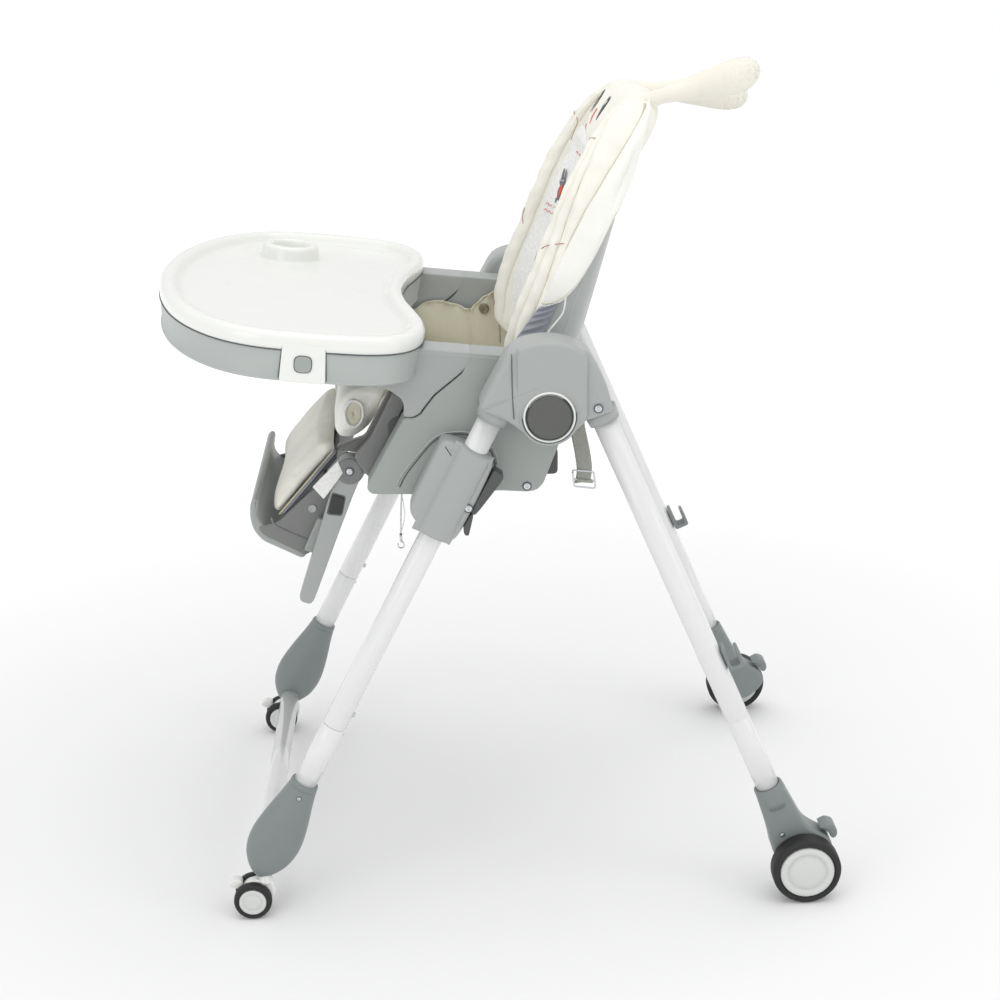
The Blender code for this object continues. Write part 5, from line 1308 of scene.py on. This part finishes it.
def prints():
    """Plain small motifs: a long-eared animal with a red root, a leafy sprig, curled tufts and rows of little arcs."""
    def motif(parts, at, turn=0.0, size=1.0):
        """Prints a motif's parts, each an outline with its offset and finish, turned and scaled about a place."""
        for k, (shape, off, finish) in enumerate(parts):
            c, s = math.cos(turn), math.sin(turn)
            place = (at[0] + size * (off[0] * c - off[1] * s), at[1] + size * (off[0] * s + off[1] * c))
            print_on("print %s %d" % ("_".join("%d" % (1000 * v) for v in at), k), shape, place, size, turn,
                      finish, pad_front, 0.0014 + 0.00012 * k)
    animal = [(oval(0.0065, 0.0105), (0, -0.010), PRINT), (oval(0.0070, 0.0062), (0, 0.005), PRINT),
              (oval(0.0018, 0.0075), (-0.0035, 0.0150), PRINT),
              (oval(0.0018, 0.0075), (0.0040, 0.0145), PRINT),
              (oval(0.0020, 0.0035), (-0.005, -0.021), PRINT), (oval(0.0020, 0.0035), (0.005, -0.021), PRINT),
               (oval(0.0032, 0.0085, 36, 0.35), (0.0015, -0.008), RED),
              (oval(0.0009, 0.0012), (-0.0028, 0.0062), PAD), (oval(0.0009, 0.0012), (0.0028, 0.0062), PAD)]
    motif(animal, (-0.101, 0.232), 0.15)
    leaf = [(oval(0.0050, 0.0130, 36, 0.2), (0, 0), PRINT),
            (oval(0.0014, 0.0070), (0.0062, 0.004), PALE_PRINT),
            (oval(0.0014, 0.0070), (-0.0062, 0.002), PALE_PRINT), (oval(0.0012, 0.0018), (0.001, 0.007), PAD)]
    motif(leaf, (0.022, 0.272), -0.35, 1.15)
    motif(leaf, (0.010, 0.176), 0.2, 1.0)
    motif(leaf, (0.060, 0.110), 0.9, 0.9)
    motif(animal, (0.045, 0.215), -0.2, 0.8)
    tuft = [(oval(0.0013, 0.0048), (x, 0.002 * abs(x) / 0.004), PRINT) for x in (-0.0120, -0.0080, -0.0040,
                                                                                  0.0, 0.0040, 0.0080,
                                                                                 0.0120)]
    motif(tuft, (0.060, 0.296), 0.1, 1.0)
    motif(tuft, (-0.060, 0.150), 0.3, 0.8)
    for gx, gy in ((-0.083, 0.280), (-0.120, 0.190), (0.085, 0.200), (-0.020, 0.120)):
        for k in range(6):
            x, y = gx + 0.0095 * (k % 3), gy + 0.0085 * (k // 3)
            t = np.linspace(0.2, math.pi - 0.2, 12)
            ax, ay = x + 0.0034 * np.cos(t), y + 0.0030 * np.sin(t)
            put(sweep("print arc %d %d %d" % (1000 * gx, 1000 * gy, k),
                      back_at(ax, ay, pad_front(ax, ay) + 0.0012), 0.0006, PINK, 6), "back")


def ear(side, tag):
    """A flat teardrop of plush: ovals along its length, a seam ridge round it and a ruffled rim; the right one hangs lower."""
    stations = [(-0.024, 0.0080, 0.0060, -0.006), (-0.004, 0.0090, 0.0100, -0.004),
                (0.010, 0.0100, 0.0096, 0.000), (0.025, 0.0110, 0.0112, 0.004),
                (0.045, 0.0130, 0.0145, 0.0092), (0.070, 0.0150, 0.0185, 0.0158),
                (0.090, 0.0160, 0.0208, 0.0205), (0.105, 0.0155, 0.0205, 0.0240),
                (0.115, 0.0135, 0.0175, 0.0262), (0.1220, 0.0095, 0.0122, 0.0275),
                (0.1262, 0.0050, 0.0062, 0.0282), (0.1275, 0.0005, 0.0006, 0.0284)]
    run = smooth_run(stations, 130)
    turn = np.linspace(0, TAU, 96, endpoint=False)
    c, s = np.cos(turn), np.sin(turn)
    d, wide, tall, rise = (run[:, k, None] for k in range(4))
    rim = np.abs(s) ** 18
    curl = np.sin(47 * turn + 700 * d + 3 * np.sin(9 * turn)) * np.sin(310 * d + 5 * np.sin(7 * turn))
    ruffle = (0.0002 + 0.0007 * np.clip((d - 0.075) / 0.04, 0, 1)) * curl * np.clip((d - 0.02) / 0.03, 0, 1)
    x = np.maximum(wide, 0.0004) * np.sign(c) * np.abs(c) ** 1.15 + ruffle * c
    z = np.maximum(tall, 0.0004) * s * (1 + 0.03 * rim) + ruffle * s
    y = d + 0 * c
    drop = 0.0 if side > 0 else -0.34 * np.clip(d, 0, 1) - 0.008
    tip = 0.0 if side > 0 else 0.016 * np.clip(d / 0.12, 0, 1)
    rows = np.stack([side * (0.078 + 0.10 * d) + x, 0.2085 + y + tip, 1.0045 + rise + z + drop], -1)
    made = put(skin("plush ear " + tag, rows, PLUSH), "back", "ear_" + tag, material="cream_cloth")


# ---------------------------------------------------------------- seat and leg rest
def seat_parts():
    """The pan's tray under the seat, the crowned seat cushion with sewn channels, and the knee roll in front."""
    pan = [(-0.1330, 0.5565), (0.0770, 0.5565), (0.0775, 0.5895), (0.0700, 0.5895), (0.0600, 0.5838),
           (-0.0500, 0.5838), (-0.0900, 0.6058), (-0.1120, 0.6378), (-0.1240, 0.6395), (-0.1340, 0.6300)]
    put(slab("seat pan", pan, -0.1913, 0.1913, BLACK_GREY, 0.003, 0.006, 200), "seat", "seat_pan",
        material="dark_plastic")
    for side, tag in ((1, "left"), (-1, "right")):
        # The knee lugs are in the darker grey that is painted shade under the seat.
        lug = [(-0.1290, 0.5600), (-0.1290, 0.6010), (-0.1560, 0.5930), (-0.1700, 0.5790),
               *[(KNEE[0] + 0.0168 * math.cos(a),
                  KNEE[1] + 0.0168 * math.sin(a)) for a in np.radians(np.linspace(110, 250, 16))],
               (-0.1600, 0.5560)]
        put(slab("knee lug " + tag, lug, side * 0.1470, side * 0.1616, SHADED_GREY, 0.001, 0.003, 120), "seat")
    outline = [(-0.1460, 0.6150), (-0.1370, 0.6140), (-0.1350, 0.6420), (-0.1240, 0.6420), (-0.1110, 0.6400),
                (-0.0890, 0.6090), (-0.0490, 0.5860), (0.0560, 0.5860), (0.0590, 0.6040), (-0.0400, 0.6080),
               (-0.0760, 0.6250), (-0.1040, 0.6560), (-0.1250, 0.6620), (-0.1440, 0.6520)]
    cushion = pad_block("seat cushion", outline, 0.1740, CREAM, 0.001, 200, 70, 0.009, 0.010)
    puffed(cushion, 0.005, 0.006)
    channels = [[(x, y, z) for x in np.linspace(-0.165, 0.165, 70)] for y,
                z in ((0.010, 0.6100), (-0.030, 0.6100), (-0.068, 0.6230), (-0.096, 0.6500))]
    pressed(cushion, channels, 0.0040, 0.0055)
    put(cushion, "seat", "seat_cushion", material="cream_cloth")

    # The knee roll lies over the pan's front: the cover's upper part, its front face seen under the tray; it takes the
    # paler cream, which lightens it against the tray's shadow as painted light.
    roll = [(-0.1800, 0.5960), (-0.1980, 0.5990), (-0.2010, 0.6100), (-0.1930, 0.6480), (-0.1790, 0.6600),
            (-0.1480, 0.6680), (-0.1300, 0.6650), (-0.1420, 0.6400), (-0.1640, 0.6060)]
    front = pad_block("knee roll", roll, 0.1500, PALE_CREAM_AND_PAINTED_LIGHT, 0.0, 160, 60, 0.012, 0.010)
    puffed(front, 0.005, 0.004)
    put(front, "seat")
    slot = smooth_ring([(-0.1860, 0.6350), (-0.1780, 0.6480), (-0.1660, 0.6440), (-0.1640, 0.6270),
                        (-0.1720, 0.6150), (-0.1830, 0.6180)], 12)
    for side in (1, -1):
        hole = np.column_stack([np.full(len(slot), side * 0.1512), slot])
        put(sweep("knee roll slot piping %d" % side, np.vstack([hole, hole[:1]]), 0.0019, PAD, 10), "seat")
        hole = np.column_stack([np.full(len(slot), side * 0.1506), shrunk(slot, 0.003)])
        middle = hole.mean(0)
        put(skin("knee roll slot %d" % side, [middle + k * (hole - middle) for k in (1, 0.6,
                                                                                     0.02)] + [middle + k * (hole - middle) - np.array([side * 0.001,
                                                                                                                                         0,
                                                                                                                                         0]) for k in (0.02,
                                                                                                                                                        1)],
                  TAN, caps=False), "seat")


def flap(side, tag):
    """A tan flap inside the arm: a frilled sheet with a snap button, fixed along the seat cushion's edge."""
    top = np.array([(-0.0999, 0.6825), (-0.0756, 0.6933), (-0.0475, 0.6910), (-0.0238, 0.6817),
                    (-0.0153, 0.6843), (-0.0009, 0.6968), (0.0170, 0.7060), (0.0290, 0.7080)])
    low = np.array([(-0.0940, 0.6230), (-0.0700, 0.6160), (-0.0450, 0.6090), (-0.0238, 0.6060),
                    (-0.0120, 0.6060), (0.0020, 0.6060), (0.0180, 0.6060), (0.0330, 0.6080)])
    top, low = smooth_run(top, 130), smooth_run(low, 130)
    k = np.linspace(0, 1, 50)[:, None, None]
    flat = low[None] * (1 - k) + top[None] * k
    v, u = k[..., 0], np.linspace(0, 1, 130)[None]
    bend = 0.0045 * np.sin(math.pi * v) + 0.0025 * np.sin(11 * u + 2.5 * v) * v + 0.0018 * np.sin(27 * u) * v ** 2 + 0.0030 * np.clip((v - 0.9) / 0.1,
                                                                                                                                       0,
                                                                                                                                       1) * np.sin(50 * u)
    x = side * (0.1865 - np.clip(bend, -0.003, 0.010))
    face = np.stack([x + 0 * flat[..., 0], flat[..., 0], flat[..., 1]], -1)
    rear = face + np.array([side * 0.0016, 0, 0])
    rows = np.concatenate([face, rear[::-1]], axis=0)
    piece = put(skin("arm flap " + tag, rows.swapaxes(0, 1), TAN), "seat")
    edge = face[-1] + np.array([-side * 0.0008, 0, 0.0002])
    put(sweep("flap hem " + tag, edge, 0.0013, TAN, 8), "seat")
    row = face[12:-2, -14] + np.array([-side * 0.0008, 0, 0])
    put(sweep("flap stitching " + tag, row, 0.0005, STITCH, 6), "seat")
    button = [(0.1790, 0.0001), (0.1790, 0.0030), (0.1785, 0.0042), (0.1775, 0.0056), (0.1790, 0.0068),
              (0.1830, 0.0072), (0.1860, 0.0068)]
    put(spin("flap snap " + tag, (0, 0.0002, 0.6824), (side, 0, 0), button, SNAP, 48), "seat")


def calf_parts():
    """The dark board, the crowned calf cushion with its welt, dark side cheeks and a plain sewn label."""
    board = [(0.0060, 0.0209), (0.1100, 0.0209), (0.1100, 0.0164), (0.0060, 0.0164)]
    put(slab("calf board", [leg_pad(*p) for p in board], -0.1440, 0.1440, BLACK_GREY, 0.001, 0.002, 140),
         "legrest", "calf_board", material="dark_plastic")
    for side, tag in ((1, "left"), (-1, "right")):
        arm = [(0.0280, 0.0205), (0.0400, 0.0205), (0.0400, 0.0030), (0.0280, 0.0030)]
        put(slab("board bracket " + tag, [leg_pad(*p) for p in arm], side * 0.1380, side * 0.1617, BLACK_GREY,
                  0.001, 0.002, 80), "legrest")
    pad = [(0.0020, 0.0235), (-0.0030, 0.0310), (0.0030, 0.0405), (0.0500, 0.0425), (0.1000, 0.0410),
           (0.1150, 0.0360), (0.1185, 0.0290), (0.1100, 0.0232)]
    cushion = pad_block("calf cushion", [leg_pad(*p) for p in pad], 0.1415, CREAM, 0.0006, 200, 80, 0.007,
                         0.008)
    puffed(cushion, 0.005, 0.005)
    put(cushion, "legrest", "calf_cushion", material="cream_cloth")
    for side, tag in ((1, "left"), (-1, "right")):
        d = np.linspace(0.002, 0.112, 60)
        welt = [(side * 0.1432, *leg_pad(k, 0.0262)) for k in d]
        put(sweep("calf welt " + tag, welt, 0.0012, PIPING, 8), "legrest")
        cheek = [(-0.0010, 0.0255), (0.0020, 0.0215), (0.1080, 0.0212), (0.1130, 0.0255)]
        put(slab("calf lining " + tag, [leg_pad(*p) for p in cheek], side * 0.1380, side * 0.1434, LINING,
                  0.0012, 0.002, 120), "legrest")
    # A blank woven label with pinked edges, folded out of the near welt.
    corner = np.array([(-0.1964, 0.5800), (-0.1909, 0.5641), (-0.2163, 0.5305), (-0.2293, 0.5469)])
    u, v = np.meshgrid(np.linspace(0, 1, 60), np.linspace(0, 1, 24), indexing="ij")
    flat = ((1 - u) * (1 - v))[..., None] * corner[0] + ((1 - u) * v)[..., None] * corner[1] + (u * v)[...,
                                                                                                        None] * corner[2] + (u * (1 - v))[...,
                                                                                                                                           None] * corner[3]
    flat[..., 1] += 0.0006 * np.sin(TAU * 14 * u) * (v < 0.04) - 0.0006 * np.sin(TAU * 14 * u) * (v > 0.96)
    x = 0.1822 + 0.0012 * np.sin(3 * u) - 0.0006 * v
    face = np.stack([x, flat[..., 0], flat[..., 1]], -1)
    rows = np.concatenate([face, (face - np.array([0.0007, 0, 0]))[::-1]], axis=0)
    put(skin("plain label", rows.swapaxes(0, 1), PAD), "legrest")


# ---------------------------------------------------------------- straps and cords
def straps():
    """The hanging strap with its slide buckle, the elastic loop with its hook, and the elastic from the pocket to the hub."""
    run = smooth_run([(0.1010, 0.6330), (0.1020, 0.6160), (0.1050, 0.6000), (0.1085, 0.5800),
                      (0.1105, 0.5620), (0.1090, 0.5480), (0.1060, 0.5430)], 80)
    s = np.linspace(-1, 1, 9)
    rows = []
    for k, (y, z) in enumerate(run):
        twist = 0.0012 * math.sin(3.2 * k / 80)
        front = [(0.1860 + twist * v, y + 0.0095 * v, z + 0.0012 * v) for v in s]
        rows.append(front + [(px - 0.0015, py, pz) for px, py, pz in front[::-1]])
    put(skin("side strap", rows, WEBBING), "seat", "side_strap", material="grey_webbing")
    frame_ring = even(rounded([(0.0955, 0.5600), (0.1225, 0.5565), (0.1245, 0.5350), (0.0975, 0.5385)],
                              0.003), 80)
    path = np.column_stack([np.full(80, 0.1866), frame_ring])
    put(sweep("strap buckle", np.vstack([path, path[:1]]), 0.0012, CHROME, 10), "seat")
    bar = [(0.1866, 0.0965, 0.5480), (0.1866, 0.1235, 0.5450)]
    put(sweep("strap buckle bar", np.linspace(bar[0], bar[1], 8), 0.0011, CHROME, 10), "seat")
    fold = [(0.1005, 0.5485), (0.1205, 0.5465), (0.1215, 0.5420), (0.1010, 0.5440)]
    put(slab("strap fold", fold, 0.1838, 0.1880, WEBBING, 0.0008, 0.001, 60), "seat")

    route = [(0.1000, -0.1175, 0.5540), (0.1000, -0.1176, 0.5460), (0.1001, -0.1180, 0.5370),
             (0.1002, -0.1186, 0.5270), (0.1003, -0.1194, 0.5170), (0.1003, -0.1202, 0.5060),
             (0.1002, -0.1210, 0.4950), (0.1000, -0.1217, 0.4840), (0.0999, -0.1223, 0.4730),
             (0.0999, -0.1228, 0.4620), (0.1000, -0.1232, 0.4510), (0.1000, -0.1234, 0.4400)]
    path = smooth_run(route, 60)
    loop = put(sweep("elastic loop", path, 0.0011, ELASTIC, 10), "seat", "elastic_loop",
               material="grey_webbing")
    t = np.linspace(0, TAU * 0.82, 30)
    hook_run = np.column_stack([0.1000 + 0 * t, -0.1234 + 0.0040 * np.sin(t), 0.4360 + 0.0045 * np.cos(t)])
    hook = put(sweep("elastic hook", hook_run, 0.0010, CHROME, 10), "seat")
    sleeve = put(spin("elastic crimp", (0.1000, -0.1232, 0.4520), (0, 0, -1),
                      [(0, 0.0001), (0, 0.0018), (0.0100, 0.0018), (0.0110, 0.0001)], CHROME, 24), "seat")
    tail = smooth_run([(0.1011, -0.1200, 0.5060), (0.1012, -0.1180, 0.4900), (0.1010, -0.1170, 0.4780),
                       (0.1009, -0.1195, 0.4650), (0.1009, -0.1225, 0.4540)], 40)
    put(sweep("elastic second strand", tail, 0.0006, ELASTIC, 8), "seat")

    points = [(0.1905, 0.0889, 0.7822), (0.1925, 0.0850, 0.7629), (0.1935, 0.0735, 0.7480),
              (0.1935, 0.0672, 0.7400), (0.1935, 0.0660, 0.7300)]
    line = smooth_run(points, 50)
    for side in (1, -1):
        mirrored = line * np.array([side, 1, 1])
        put(sweep("pocket elastic %d" % side, mirrored, 0.0011, ELASTIC, 8), "back")


shell()
cover()
pocket()
insert_pad()
head_cap()
face()
prints()
seat_parts()
calf_parts()
straps()
for side, tag in ((1, "left"), (-1, "right")):
    lining(side)
    ear(side, tag)
    flap(side, tag)
